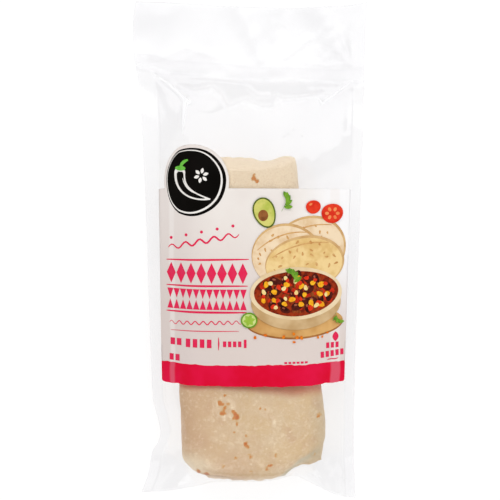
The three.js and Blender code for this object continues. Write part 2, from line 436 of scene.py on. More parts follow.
def near_run(finish, start, end, narrow, wide):
    """1 near a straight run in plan, 0 away from it, with half widths at its start and its end."""
    way = Vector((end[0] - start[0], end[1] - start[1], 0)) * MM
    from_start = add_node(finish, "Mapping", {
        "Vector": object_place(finish), "Location": (-start[0] * MM, -start[1] * MM, 0), "Scale": (1, 1, 0)})
    run = {0: from_start, 1: way / way.length_squared}
    share = add_node(finish, "VectorMath", run, operation="DOT_PRODUCT").outputs["Value"]
    held = math_node(finish, "MULTIPLY", share, 1, held=True)
    foot = add_node(finish, "VectorMath", {0: way, "Scale": held}, operation="SCALE")
    off = add_node(finish, "VectorMath", {0: from_start, 1: foot}, operation="DISTANCE").outputs["Value"]
    reach = times(finish, held, (wide - narrow) * MM, narrow * MM)
    return ramp(finish, math_node(finish, "DIVIDE", off, reach), 0.5, 1.2, 1, 0)


# Painted highlights along sharp folds in the front layer, standing in for reflections of the lights: start,
# end, and half widths at the two.
PAINTED_HIGHLIGHT_STROKES = [
    ((-46.5, 85), (-38, 79.4), 0.25, 0.5), ((-38, 79.4), (-28.6, 70.6), 0.5, 1.1),
    ((-31.4, 56), (-30.6, 72), 0.1, 1.3), ((48.2, 81), (33.6, 70), 0.25, 0.6),
    ((33.6, 70), (32.2, 72.4), 0.5, 0.2),
]


def painted_highlight_share(finish):
    """How much painted highlight lies along the front layer's folds."""
    share = painted(finish, "painted_fold_highlight")
    for run in PAINTED_HIGHLIGHT_STROKES:
        stroke = times(finish, near_run(finish, *run), painted(finish, "upper"))
        share = math_node(finish, "MAXIMUM", share, stroke)
    return share


def film_finish(settings):
    """Clear film: it lets most light through, mirrors a little, is hazier at its seals and has painted
    highlights along some folds.
    """
    finish = new_finish("clear_film")
    wrinkle = bump(finish, noise(finish, 90, 2, stretch=(1, 0.45, 1)), 0.0006, 0.35)
    cloud = ramp(finish, noise(finish, 30, 3, 0.55), 0.3, 0.7, 0.8, 1.15)
    mist = times(finish, painted(finish, "mist", MIST_SHARE), cloud)
    clear = add_node(finish, "BsdfTransparent", {
        "Color": coated(finish, (0.999, 0.999, 0.999), [(mist, settings.tint)])})
    rubbed = ramp(finish, painted(finish, "rubbed"), 0, 1, settings.gloss, settings.rubbed_gloss)
    gloss = add_node(finish, "BsdfGlossy", {"Color": (1, 1, 1, 1), "Roughness": rubbed, **wrinkle})
    behind = add_node(finish, "NewGeometry").outputs["Backfacing"]
    index = ramp(finish, behind, 0, 1, FILM_INDEX, 1 / FILM_INDEX)
    mirror = add_node(finish, "Fresnel", {"IOR": index, **wrinkle})
    sheet = add_node(finish, "MixShader", {0: mirror, 1: clear, 2: gloss})
    white = add_node(finish, "BsdfDiffuse", {"Color": (0.93, 0.93, 0.94, 1)})
    haze = times(finish, painted(finish, "rim"), settings.rim_haze, settings.haze)
    # Painted highlights along the folds, mixed in as white scattered light.
    haze = times(finish, painted_highlight_share(finish), settings.painted_highlight_strength, haze)
    return show(finish, add_node(finish, "MixShader", {0: haze, 1: sheet, 2: white}))


def tortilla_finish(settings):
    """Wheat tortilla: pale floury flecks, oily patches, faint browning and small toasted spots, with painted
    light, painted shade, a painted film reflection and the label's painted shadow.
    """
    finish = new_finish("wheat_tortilla")
    mottle = ramp(finish, noise(finish, 560, 5, 0.75), 0.5, 0.68)
    flecks = ramp(finish, noise(finish, 900, 2), 0.66, 0.74)
    grain = noise(finish, 1600, 3, 0.7)
    edge = times(finish, noise(finish, 950, 4, 0.75), 1.5, painted(finish, "toast"))
    colour_now = coated(finish, settings.dough, [
        (ramp(finish, noise(finish, 60, 5, 0.68), 0.42, 0.62), settings.golden),
        (ramp(finish, noise(finish, 95, 5, 0.7, (1, 0.7, 1)), 0.48, 0.68, 0, 0.9), settings.warm),
        # Painted shade down the left side, and a few browned patches.
        (painted(finish, "painted_shade_and_browning"), settings.warm),
        # Floury places, and painted light over the front of the upper end.
        (times(finish, mottle, 0.5, painted(finish, "flour_and_painted_light")), settings.pale),
        (times(finish, flecks, painted(finish, "dust")), settings.pale),
        (ramp(finish, grain, 0.48, 0.72, 0, 0.5), settings.warm),
        # Painted shade in the recess, and painted film reflection along the right side.
        (painted(finish, "painted_shade_and_glare"), settings.painted_shade_and_glare),
        (ramp(finish, edge, 0.9, 1.2, 0, 0.8), settings.halo),
        (ramp(finish, edge, 1.08, 1.4, 0, 0.95), settings.toast),
        (ramp(finish, edge, 1.55, 1.85, 0, 0.8), settings.scorch),
        # Painted shade along the edges of the tortilla's layers.
        (painted(finish, "painted_crevice_shade", 0.8), settings.painted_crevice_shade),
        # Painted shadow under the label's lower edge.
        (painted(finish, "painted_label_shadow", 0.9), settings.painted_label_shadow),
    ])
    skin = times(finish, grain, 0.3, noise(finish, 300, 5, 0.68))
    return surface(finish, colour_now, 0.55, 0.35, bump(finish, skin, 0.0011, 0.55))


def axes_of(finish):
    """Each point's place across and up the pack, in metres."""
    split = add_node(finish, "SeparateXYZ", {"Vector": object_place(finish)})
    return split.outputs["X"], split.outputs["Y"]


def streak(finish, low, high, soft=0.0006):
    """1 between two places across the pack, 0 elsewhere."""
    wander = ramp(finish, noise(finish, 40, 2, stretch=(0.2, 1, 1)), 0.3, 0.7, -soft, soft)
    moved = math_node(finish, "ADD", axes_of(finish)[0], wander)
    rise = ramp(finish, moved, low - soft, low + soft)
    return times(finish, rise, ramp(finish, moved, high - soft, high + soft, 1, 0))


def sheen(finish, share):
    """Painted highlight streaks where the label turns down over the burrito's sides, standing in for
    reflections of the side lights.
    """
    both = math_node(finish, "ADD", streak(finish, -0.0375, -0.0352), streak(finish, 0.0378, 0.0424))
    return times(finish, both, share)


def print_grain(finish):
    """The faint unevenness of printed label stock."""
    return bump(finish, noise(finish, 60), 0.0004, 0.25)


def paper_finish(settings):
    """Coated label stock, greyer towards its bottom, with painted shade down its left side, a painted
    highlight at its upper right, painted highlight streaks over both sides, and its band's colour.
    """
    finish = new_finish("label_stock")
    across, up = axes_of(finish)
    right = ramp(finish, across, 0.018, 0.042, 0, 0.8)
    colour_now = coated(finish, settings.paper, [
        (ramp(finish, up, LABEL_TOP * MM, -0.03), settings.paper_low),
        (ramp(finish, noise(finish, 28, 3, 0.55), 0.4, 0.7, 0, 0.4), tone(222, 209, 203)),
        # Painted shade where the label turns down over the burrito's left side.
        (ramp(finish, across, -0.03, -0.012, 0.45, 0), tone(216, 203, 199)),
        # Painted highlight over the upper right, where the right light falls.
        (times(finish, right, ramp(finish, up, -0.045, 0.005)), tone(250, 250, 252)),
        # Painted highlight streaks over both sides.
        (sheen(finish, 0.5), tone(240, 234, 230)),
        (ramp(finish, up, (LABEL_BOTTOM + 9) * MM, (LABEL_BOTTOM + 8.6) * MM), settings.band),
    ])
    return surface(finish, colour_now, 0.42, 0.3, print_grain(finish))


def ink_finish(name, first, second, scale, roughness=0.45, painted_gloss=0.0):
    """Printed ink with a soft mottle between two tones, and painted highlight streaks where asked."""
    finish = new_finish(name)
    coats = [(ramp(finish, noise(finish, scale, 3, 0.6), 0.38, 0.66), second)]
    # Painted highlight streaks in a lighter pink over the label's turned-down sides.
    if painted_gloss:
        coats.append((sheen(finish, painted_gloss), tone(220, 104, 126)))
    return surface(finish, coated(finish, first, coats), roughness, 0.03, print_grain(finish))


def floor_finish(settings):
    """A pale light table with a faint mottle."""
    finish = new_finish("light_table")
    mottle = ramp(finish, noise(finish, 6, 2), 0.3, 0.7, 0, 0.1)
    top = coated(finish, settings.floor, [(mottle, tone(146, 146, 147))])
    glow = {"Emission Color": (1, 1, 1, 1), "Emission Strength": settings.glow}
    return surface(finish, top, 0.9, 0.1, glow)


# How the rows and columns of the film's grid are shared out, so that they run along its seals.
FILM_COLUMNS, FILM_ROWS = 156, 304
LEFT_SHARE, RIGHT_SHARE = 11 / FILM_COLUMNS, 1 - 8 / FILM_COLUMNS
LOW_SHARE, HIGH_SHARE = 250 / FILM_ROWS, 260 / FILM_ROWS
HAIR = 1e-6


def film_plan(across, up):
    """Places in plan of the film's grid, and how far along the pack each row lies."""
    along = np.interp(up, (0, LOW_SHARE, HIGH_SHARE, 1), (-END_Y, *CROSS_SEAL, END_Y))
    left, right = through(LEFT_SIDE, along), through(RIGHT_SIDE, along)
    left_seal, right_seal = left + through(LEFT_SEAL, along), right - RIGHT_SEAL
    first = left + (left_seal - left) * across / LEFT_SHARE
    inner = (across - LEFT_SHARE) / (RIGHT_SHARE - LEFT_SHARE)
    middle = left_seal + (right_seal - left_seal) * inner
    last = right_seal + (right - right_seal) * (across - RIGHT_SHARE) / (1 - RIGHT_SHARE)
    x = np.where(across < LEFT_SHARE, first, np.where(across < RIGHT_SHARE, middle, last))
    share = (along + END_Y) / (2 * END_Y)
    y = through(BOTTOM_EDGE, x) * (1 - share) + through(MOUTH_EDGE, x) * share
    return x, y + through(SEAL_DRIFT, x) * bell(along, SEAL_MIDDLE, 13), along


def sealed_share(across, along):
    """1 where the two layers are sealed together, 0 elsewhere."""
    sides = (across <= LEFT_SHARE + HAIR) | (across >= RIGHT_SHARE - HAIR)
    cross = (along >= CROSS_SEAL[0] - 1e-3) & (along <= CROSS_SEAL[1] + 1e-3)
    return np.where(sides | cross, 1.0, 0.0)


def blurred(heights, passes):
    """Heights on the film's grid, evened out over their neighbours, with the outline kept."""
    table = heights.reshape(FILM_ROWS + 1, FILM_COLUMNS + 1)
    for _ in range(passes):
        table[:, 1:-1] = (table[:, :-2] + 2 * table[:, 1:-1] + table[:, 2:]) / 4
        table[1:-1] = (table[:-2] + 2 * table[1:-1] + table[2:]) / 4
    return table.ravel()


def from_path(x, y, path):
    """How far places lie from a path of straight runs, and how far along it, as a share."""
    runs = [(np.array(a, float), np.array(b, float)) for a, b in zip(path, path[1:])]
    lengths = [np.hypot(*(b - a)) for a, b in runs]
    nearest, along, walked = np.full(x.shape, np.inf), np.zeros_like(x), 0.0
    for (a, b), reach in zip(runs, lengths):
        t = ((x - a[0]) * (b - a)[0] + (y - a[1]) * (b - a)[1]) / reach ** 2
        held = np.clip(t, 0, 1)
        off = np.hypot(x - a[0] - held * (b - a)[0], y - a[1] - held * (b - a)[1])
        along = np.where(off < nearest, (walked + held * reach) / sum(lengths), along)
        nearest = np.minimum(nearest, off)
        walked += reach
    return nearest, along


def crease(x, y, path, width, height, spread=1.0):
    """A crease along a path, which starts with a share of its width and fades out at both ends."""
    off, t = from_path(x, y, path)
    now = width * (spread + (1 - spread) * t)
    fade = smooth(t, 0, 0.08) * (1 - smooth(t, 0.85, 1))
    return height * fade * np.exp(-((off / now) ** 1.4) * 1.4)


def creases(x, y, folds):
    """All the creases of a list."""
    return sum(crease(x, y, *fold) for fold in folds)


# The wavy fold under the cross seal, in four runs.
WAVY_FOLD = [
    ((-36, 79.6), (-30.5, 77.6), (-25.8, 76.2), (-17.4, 77.6)),
    ((-19, 79.5), (-17.4, 77.6), (-13.1, 73.8), (-10.3, 68.1)),
    ((-11.5, 66.4), (-10.3, 68.1), (-2.3, 71.9), (5.6, 68.1), (13.1, 68.6)),
    ((13.1, 68.6), (11.7, 73.8), (16, 72.2), (23.4, 72.8), (30.5, 73.8), (37.6, 75.7)),
]
# Creases as path, width, height and, where one fans out, the share of the width that it starts with.
# The first list is in both layers of the flap, the second in the front layer over the pocket.
FLAP_FOLDS = [
    (((6, 88), (-5, 116)), 4, 1.0, 0.2), (((6, 88), (0.5, 113)), 2, -0.6, 0.3),
    (((6, 88), (10, 101), (12, 112)), 2.4, 0.7, 0.3), (((6, 88), (17, 108)), 3, -0.8, 0.2),
    (((15.6, 91), (21.3, 95.8), (30.7, 103)), 2.2, 0.9, 0.5), (((35.4, 91), (30.7, 98)), 1.5, 0.6),
    (((33, 91), (40, 100.5)), 1.6, -0.5), (((38, 91), (36, 97), (39, 104)), 1.3, 0.5),
    (((48.6, 87.7), (31, 105.3)), 4, 1.0, 0.2), (((48.6, 87.7), (38, 107)), 2, -0.7, 0.3),
    (((48.6, 87.7), (42.5, 106.7)), 2, 0.8, 0.3), (((48.6, 87.7), (47.3, 108)), 1.8, -0.6, 0.3),
    (((-47, 90), (-42, 116)), 6, 0.8, 0.2), (((-47, 90), (-30, 97), (-16, 92)), 2.5, 0.6, 0.4),
    (((-30, 92), (-24, 95), (-12, 91)), 1.4, 0.4), (((22, 90.5), (36, 88.6), (52, 89)), 1.0, 0.4),
    (((-46, 86), (-56, 88)), 1.4, 0.5), (((-44, 86), (-34, 84.5)), 1.2, 0.4),
]
POCKET_FOLDS = [
    (((-47, 85), (-39.4, 80.6), (-33.5, 76.2), (-29.4, 71.6)), 2.6, -0.65, 0.4),
    (((-30.2, 75), (-31, 68), (-30.9, 57)), 1.7, 0.4), (((-45, 84), (-42, 70), (-43, 58)), 2.4, -0.35),
    (WAVY_FOLD[0], 1.6, 0.32), (WAVY_FOLD[1], 1.7, 0.4), (WAVY_FOLD[2], 1.7, 0.4), (WAVY_FOLD[3], 1.6, 0.36),
    (((-28, 66), (-18, 64.5), (-10.3, 68.1)), 1.6, 0.25), (((-2, 79), (3, 74), (11.7, 73.8)), 1.3, -0.25),
    (((48, 80.8), (39.9, 75.7), (33.4, 70.3)), 1.9, -0.5), (((33.8, 69.8), (32.4, 72.4)), 1.4, 0.4),
    (((47, 78), (45.4, 66), (45.8, 55)), 2.2, -0.35),
    (((-36.5, -100.5), (-41, -108), (-45.5, -115.4)), 1.3, 0.8),
    (((-33, -96), (-42, -94), (-46, -100)), 2, 0.5),
    (((38.9, -104.5), (42, -111), (44, -116.9)), 1.2, 0.8), (((36, -96), (42, -98), (46, -108)), 2, 0.6),
]
# Faint painted highlights along the wavy fold of the front layer, in place of reflections: path, width and
# strength.
PAINTED_HIGHLIGHT_FOLDS = [(run, width, 0.2) for run, width in zip(WAVY_FOLD, (2, 2, 2, 1.8))]
# Small dimples in the front layer that catch the light, as x, y, radius and height.
DIMPLES = [
    (29.9, 42.8, 1.6, 0.3), (-48.7, 35.8, 1.8, 0.35), (-32.1, -108.4, 1.6, 0.35), (29.7, -105.8, 1.5, 0.3),
    (41.5, 50, 1.3, 0.25), (-24, 58, 1.4, 0.2), (44, 62, 1.2, 0.25),
]
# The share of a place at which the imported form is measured, so that its outline isn't missed, how far the
# film lies off the tortilla, a height out of the way, and how far the film stays off the ground.
INWARD = 0.997
CLING = 0.14
FAR = 1e3
GROUND_GAP = 0.05
# How far each layer turns away at the mouth, and how wide the lines along the seals are.
MOUTH_FLARE = 0.1
SIDE_LINE, CROSS_LINE = 0.7, 0.6
MISTIEST = 3.5


def layer_heights(trees, x, y, along, sealed, side):
    """A layer's heights without creases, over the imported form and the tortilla, and what creases add."""
    packed, tortilla = trees
    base = blurred(heights_on(packed, x * INWARD, y * INWARD, side), 9)
    over = heights_on(tortilla, x, y, side, missed=-FAR * side) + CLING * side
    base = np.maximum(base, over) if side > 0 else np.minimum(base, over)
    flap, flat = smooth(along, *CROSS_SEAL), 0 * x
    added = 0.4 * creases(x, y, FLAP_FOLDS) * flap
    added += 0.09 * ripple(x, y, flat, 17, 5) * smooth(along, 78, 100)
    added += 0.1 * ripple(x, y, flat, 3.4, 6) * bell(along, SEAL_MIDDLE, 4)
    added += 0.25 * ripple(x, y, flat, 14, 7) * smooth(np.abs(x), 38, 52)
    if side > 0:
        added += creases(x, y, POCKET_FOLDS) * (1 - sealed)
        added += 0.12 * ripple(x, y, flat, 9, 8) * smooth(along, 40, 70) * (1 - flap)
        added += sum(h * bell(x, a, r) * bell(y, b, r) for a, b, r, h in DIMPLES)
    return base, added


def mist_in(x, y, across, along, sealed):
    """How misty the film is: hardly in its seals and flap, and most under the cross seal."""
    inner = (across - LEFT_SHARE) / (RIGHT_SHARE - LEFT_SHARE) * POCKET_WIDTH
    lines = bell(inner, 0, SIDE_LINE) + bell(inner, POCKET_WIDTH, SIDE_LINE)
    pocket = (1 - smooth(along, 81, 82)) * (1 - sealed)
    level = 2.1 - 0.3 * smooth(81 - along, 4, 14) - 1.1 * smooth(30 - along, 0, 60)
    seals = 0.9 + 0.35 * smooth(60 - along, 0, 60) + 0.15 * smooth(x, 0, 20)
    flap = 1.6 + 0.35 * ripple(x, y, 0 * x, 16, 9)
    mist = pocket * level + (1 - pocket) * np.where(along > 82, flap, seals)
    mist += 0.9 * (1 - smooth(along, -106, -90)) * smooth(np.abs(x), 22, 38)
    mist += 0.6 * smooth(along, 81, 82) * (1 - smooth(along, 88, 91))
    low = 1 - smooth(along, 60, 80) * 0.3
    mist += (0.12 + 0.3 * smooth(along, 0, 60)) * lines * low * (along < 82)
    mist += 1.1 * bell(along, CROSS_SEAL[0], CROSS_LINE) * (0.5 + 0.5 * smooth(np.abs(x), 20, 45))
    return np.clip(mist + 0.35 * bell(along, CROSS_SEAL[1], CROSS_LINE), 0, MISTIEST)


def crisp_rim(film):
    """Keeps the shading of the two layers apart where they meet along the outline."""
    rim = film.data.attributes["rim"].data
    for edge in film.data.edges:
        first, second = edge.vertices
        edge.use_edge_sharp = rim[first].value > 0.5 and rim[second].value > 0.5


def build_film(settings, tortilla):
    """The pouch's two layers, closed along its outline, with what is painted on them."""
    trees = tree_of(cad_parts["bag"]), tree_of(tortilla)
    front, across, up = grid("film", FILM_COLUMNS, FILM_ROWS)
    back = grid("film_back", FILM_COLUMNS, FILM_ROWS)[0]
    x, y, along = film_plan(across, up)
    sealed = sealed_share(across, along)
    layers = [layer_heights(trees, x, y, along, sealed, side) for side in (1, -1)]
    high, low = (base + settings.crease * added for base, added in layers)
    rim = (across < HAIR) | (across > 1 - HAIR) | (up < HAIR) | (up > 1 - HAIR)
    joined = np.maximum(sealed, smooth(along, *CROSS_SEAL))
    middle, half = (high + low) / 2, settings.seal_gap / MM / 2
    high += (middle + half - high) * joined
    low += (middle - half - low) * joined
    mouth = MOUTH_FLARE * smooth(along, 96, 119) * (1 - sealed)
    low = np.where(rim, middle, np.maximum(low - mouth, GROUND_GAP))
    high = np.maximum(np.where(rim, middle, high + mouth), low)
    # Painted highlights along the wavy fold, kept to the front layer.
    white = np.clip(creases(x, y, PAINTED_HIGHLIGHT_FOLDS), 0, 1)
    marks = {"mist": mist_in(x, y, across, along, sealed), "rubbed": smooth(along, 79, 86), "rim": rim}
    for piece, z, upper in ((front, high, 1), (back, low, 0)):
        place(piece.data, x, y, z)
        for name, values in {**marks, "upper": upper + 0 * x, "painted_fold_highlight": upper * white}.items():
            paint(piece.data, name, values)
    edit(back, bpy.ops.mesh.flip_normals)
    film = join("film", front, back)
    edit(film, merge)
    soften_shading(film)
    crisp_rim(film)
    finish_piece(film, "film", film_finish(settings), "bag")
    return film


# The tortilla's grid: how many columns go round it, and rows up it, in its two rounded ends and between.
ROUND_COLUMNS, END_ROWS, BODY_ROWS = 220, 16, 226

# The folded end's outline in plan, and how far its corners are rounded off.
FOLDED_END = [
    (-33, -96.6), (-31.7, -99.2), (-28.5, -101.8), (-24.7, -104.2), (-21.2, -105.8), (-19.8, -107.2),
    (-16.7, -107.5), (-11, -108.1), (-2.4, -108.4), (1.2, -108.3), (10.3, -106.9), (16.4, -106.1),
    (17.8, -104.9), (21.8, -102), (28.5, -100.4), (31.7, -99.4), (35.3, -98.2),
]
CORNER_ROUND = 3.2

# Toasted spots on the front, as x, y, radius and strength, and blisters as x, y and radius.
FRONT_SPOTS = [
    (-11.7, -64.9, 0.8, 0.8), (-13.8, -68, 1.0, 0.9), (-12.7, -68.8, 0.9, 0.85), (-10, -68.3, 0.7, 0.6),
    (-11.5, -70.4, 1.0, 0.85), (-12.8, -73, 1.1, 0.9), (-11.5, -73.2, 0.8, 0.75), (-7, -73, 1.2, 1.05),
    (-6.1, -74.6, 1.4, 1.15), (-7.6, -72.3, 0.9, 0.85), (-7.1, -81.7, 0.6, 0.9), (-1.7, -83.3, 0.8, 0.85),
    (-2, -87, 1.0, 1.1), (-0.9, -88.2, 1.1, 0.7), (0.4, -93.1, 0.9, 0.7), (-0.2, -92, 0.6, 0.6),
    (-6.4, -93.8, 0.7, 0.65), (-12.2, -97.5, 0.8, 0.65), (12.2, -91.7, 0.7, 0.6), (11.7, -92.6, 0.7, 0.6),
    (9.5, -97.1, 0.9, 1.1), (7.8, -98.8, 0.9, 0.95), (0.6, -100.4, 0.8, 0.5), (6.9, -70.8, 0.8, 0.45),
    (32.2, -75.2, 1.0, 0.75), (32.2, -73.8, 0.7, 0.5), (-24, -101.4, 1.1, 1.15), (-20.3, -102.3, 1.3, 1.15),
    (-16.2, -103.6, 0.6, 0.6), (-11.4, -104.6, 0.7, 0.6), (29.1, -94, 1, 0.4), (30.9, -93.8, 1, 0.4),
    (27, -91.4, 1, 0.3), (2.0, 35.2, 1.1, 0.8), (3.2, 33.9, 0.9, 0.75), (1.4, 36.4, 0.7, 0.5),
    (17, 32.6, 0.6, 0.2),
]
FRONT_BLISTERS = [(-11.6, -70.4, 5.4), (-6.4, -79, 2.2), (-12.6, -84, 1.8), (-9, -88, 1.7), (6.6, -71.7, 2.4)]
# Where the tortilla is floury, as x, y, half widths and strength.
FLOURED = [
    (-5, -84, 10, 9, 0.5), (13, -88, 9, 12, 0.8), (11.2, -76.9, 0.7, 1.6, 5), (-17, -78, 6, 9, 0.3),
    (20, -70, 14, 9, 0.35), (-27, -98, 9, 5, 5), (14, 41, 11, 4, 0.5),
]
# Where it is a little browner, as x, y, half widths and strength.
BROWNED = [(-5, -98, 13, 8, 0.5), (-22, -86, 5, 4, 0.35)]


def section(count):
    """Points at even steps round a rounded oblong, from its left side over the front and back again."""
    turn = np.linspace(0, 2 * math.pi, SECTION_STEPS + 1)
    across = -np.sign(np.cos(turn)) * np.abs(np.cos(turn)) ** (2 / SECTION_POWER)
    rise = np.sign(np.sin(turn)) * np.abs(np.sin(turn)) ** (2 / SECTION_POWER)
    step = np.hypot(np.diff(across) * HALF_WIDTH, np.diff(rise) * HALF_HEIGHT)
    walked = np.concatenate(([0], np.cumsum(step)))
    wanted = np.linspace(0, walked[-1], count + 1)
    return np.interp(wanted, walked, across), np.interp(wanted, walked, rise)


def tortilla_rows():
    """For each row: its shares of the two ends, its step from them, and how full the section is there."""
    turn = np.linspace(0, math.pi / 2, END_ROWS + 1)
    body = np.linspace(0, 1, BODY_ROWS + 1)[1:-1]
    zeros, ones = np.zeros_like(turn), np.ones_like(turn)
    bottom = (ones, zeros, BOTTOM_ROUND * (1 - np.cos(turn)), np.sin(turn))
    middle = (1 - body, body, BOTTOM_ROUND * (1 - body) - TOP_ROUND * body, np.ones_like(body))
    top = (zeros, ones, -TOP_ROUND * (1 - np.cos(turn[::-1])), np.sin(turn[::-1]))
    return [np.concatenate(parts) for parts in zip(bottom, middle, top)]


def upper_share(z):
    """1 on the tortilla's front, fading out round its sides to 0 on its back."""
    return smooth(z, AXIS_HEIGHT - 6, AXIS_HEIGHT)


def layer_edges(x, y, z):
    """The edges of the tortilla's layers: for each, how far past it a place lies, its step, its soft width
    and the share of it that shows there."""
    front = upper_share(z)
    wobble = 1.2 * ripple(x, y, z, 18, 25) + 0.35 * ripple(x, y, z, 4, 26)
    fine = 0.35 * ripple(x, y, z, 3.2, 27)
    seam = (x - 9 + wobble, 0.9, 0.8, (1 - smooth(x, 24, 33)) * (1 - front))
    bowed = 0.005 * (x + 26) ** 2
    tuck = (-(y + 103) - bowed + 0.6 * fine, 0.7, 0.5, smooth(-x, 5, 10) * front)
    under = (-(y + 105.1) - bowed + 0.6 * fine, 0.5, 0.4, 0.6 * smooth(-x, 9, 13) * front)
    shade = 0.4 * wobble + 0.5 * fine
    recess = (0.644 * (x - 16.6) - 0.764 * (y + 101.6) + shade, 1.3, 3.2, smooth(-y, 84, 93) * front)
    upper = ((y - 38) + 0.6 * (x + 33) + 0.3 * wobble, 0.5, 0.8, smooth(-x, 12, 22) * (1 - front))
    return seam, tuck, under, recess, upper


def tortilla_relief(x, y, z):
    """How far the tortilla's skin stands out from its plain form, and how much painted shade lies along the
    crevices at its layers' edges.
    """
    relief = 0.16 * ripple(x, y, z, 13, 21) + 0.12 * ripple(x, y, z, 6, 22) + 0.06 * ripple(x, y, z, 2.6, 23)
    wander = ripple(x, y, z, 16, 24)
    lines = np.cos((x * 0.98 - y * 0.12) * 2 * math.pi / 11 + 2.2 * wander)
    relief += 0.08 * lines * np.abs(lines)
    painted_crevice_shade = np.zeros_like(x)
    for off, depth, width, share in layer_edges(x, y, z):
        relief -= depth * share * smooth(off, -width / 2, width / 2)
        # Painted shade along the narrow layer edges.
        if width < 1:
            painted_crevice_shade = np.maximum(painted_crevice_shade, share * np.exp(-((off / 0.55) ** 2)))
    return relief, painted_crevice_shade


def spot_list():
    """All toasted spots: those seen on the front, and a scatter of others round the sides and back."""
    spots = [(x, y, True, radius, strength) for x, y, radius, strength in FRONT_SPOTS]
    draw = np.random.default_rng(31)
    for _ in range(26):
        centre_x, centre_y = draw.uniform(-29, 29), draw.uniform(-100, 40)
        for _ in range(draw.integers(2, 7)):
            spots.append((centre_x + draw.normal(0, 3.5), centre_y + draw.normal(0, 4), False,
                          draw.uniform(0.5, 1.7), draw.uniform(0.65, 1.1)))
    for _ in range(14):
        spots.append((draw.uniform(-30, 22), draw.uniform(-52, 28), True,
                      draw.uniform(0.5, 1.2), draw.uniform(0.6, 1)))
    return spots


def toasted(x, y, front, rough):
    """How toasted the tortilla is."""
    toast = np.zeros_like(x)
    for spot_x, spot_y, on_front, radius, strength in spot_list():
        near = np.hypot(x - spot_x, y - spot_y) * rough / radius
        toast = np.maximum(toast, strength * (1 - smooth(near, 0.2, 1.5)) * (front == on_front))
    return toast


def blistered(x, y, front, rough):
    """How far the tortilla's blisters have risen, and how floury they and their rims are."""
    draw = np.random.default_rng(33)
    blisters = [(*b, True) for b in FRONT_BLISTERS]
    blisters += [(draw.uniform(-30, 32), draw.uniform(-104, 42), draw.uniform(0.7, 1.8), bool(i % 2))
                 for i in range(130)]
    rise, flour_and_painted_light = np.zeros_like(x), np.zeros_like(x)
    for spot_x, spot_y, radius, on_front in blisters:
        near = np.hypot(x - spot_x, y - spot_y) * (0.55 + 0.45 * rough) / radius
        here = front == on_front
        rise = np.maximum(rise, (1 - smooth(near, 0.3, 1.1)) * here)
        ring = bell(near, 0.82, 0.2) * (0.7 + 0.3 * np.sin(x * 2 + y))
        flour_and_painted_light = np.maximum(flour_and_painted_light, (0.14 * (near < 0.8) + min(0.6, 0.11 * radius) * ring) * here)
    return rise, flour_and_painted_light


def patches(x, y, spots):
    """Soft patches at places given as x, y, half widths and strength."""
    return sum(strength * bell(x, a, wide) * bell(y, b, tall) for a, b, wide, tall, strength in spots)


def tortilla_marks(x, y, z, front):
    """What is painted on the tortilla, by name, and how far its blisters have risen."""
    rough = 1 + 0.3 * ripple(x, y, z, 1.6, 41)
    toast = toasted(x, y, front, rough)
    rise, flour_and_painted_light = blistered(x, y, front, rough)
    above, floury = upper_share(z), patches(x, y, FLOURED) * front
    dust = 0.3 + 0.2 * ripple(x, y, z, 15, 44) + floury
    # Painted light: the front of the upper end is made paler, on top of its floury patches.
    flour_and_painted_light += 0.22 * floury + (0.92 * smooth(y, 22, 28) + 0.1 * smooth(y, 32, 41)) * above
    flour_and_painted_light += 0.3 * smooth(y, -20, 40) * (1 - above)
    # Painted shade in the folded end's recess, and painted film reflection along the right side.
    past, _, _, shown = layer_edges(x, y, z)[3]
    painted_shade_and_glare = 0.75 * shown * bell(past, 1.8, 2.1) * smooth(-y, 89, 95)
    painted_shade_and_glare += 0.3 * smooth(x, 25, 34) * smooth(-y, 58, 70)
    # Painted shade down the left side.
    painted_shade_and_browning = 0.6 * (1 - smooth(x, -31, -12)) * smooth(y, -104, -84) + 0.3 * (1 - smooth(x, -14, 6))
    # Painted shadow under the label's lower edge, reaching further down towards the right.
    reach = (3.2 + 3.4 * smooth(x, -12, 24)) * (1 + 0.1 * ripple(x, y, z, 7, 45))
    painted_label_shadow = (1 - smooth(LABEL_BOTTOM - y, 0.4 * reach - 0.9, reach)) * above * (y < LABEL_BOTTOM + 6)
    marks = {"toast": toast, "flour_and_painted_light": np.clip(flour_and_painted_light * (1 - toast), 0, 1), "dust": np.clip(dust, 0, 1),
             "painted_shade_and_glare": painted_shade_and_glare, "painted_shade_and_browning": painted_shade_and_browning + patches(x, y, BROWNED) * front, "painted_label_shadow": painted_label_shadow}
    return marks, rise


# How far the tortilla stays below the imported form's front and above its back, in millimetres.
CEILING_ROOM, GROUND_ROOM = 0.2, 0.3


def seat(points, front):
    """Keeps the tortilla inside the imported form."""
    x, y, z = points.T
    packed = tree_of(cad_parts["bag"])
    ceiling = heights_on(packed, x, y, 1) - CEILING_ROOM
    ground = heights_on(packed, x, y, -1) + GROUND_ROOM
    points[:, 2] = np.where(front, np.minimum(z, ceiling), np.maximum(z, ground))


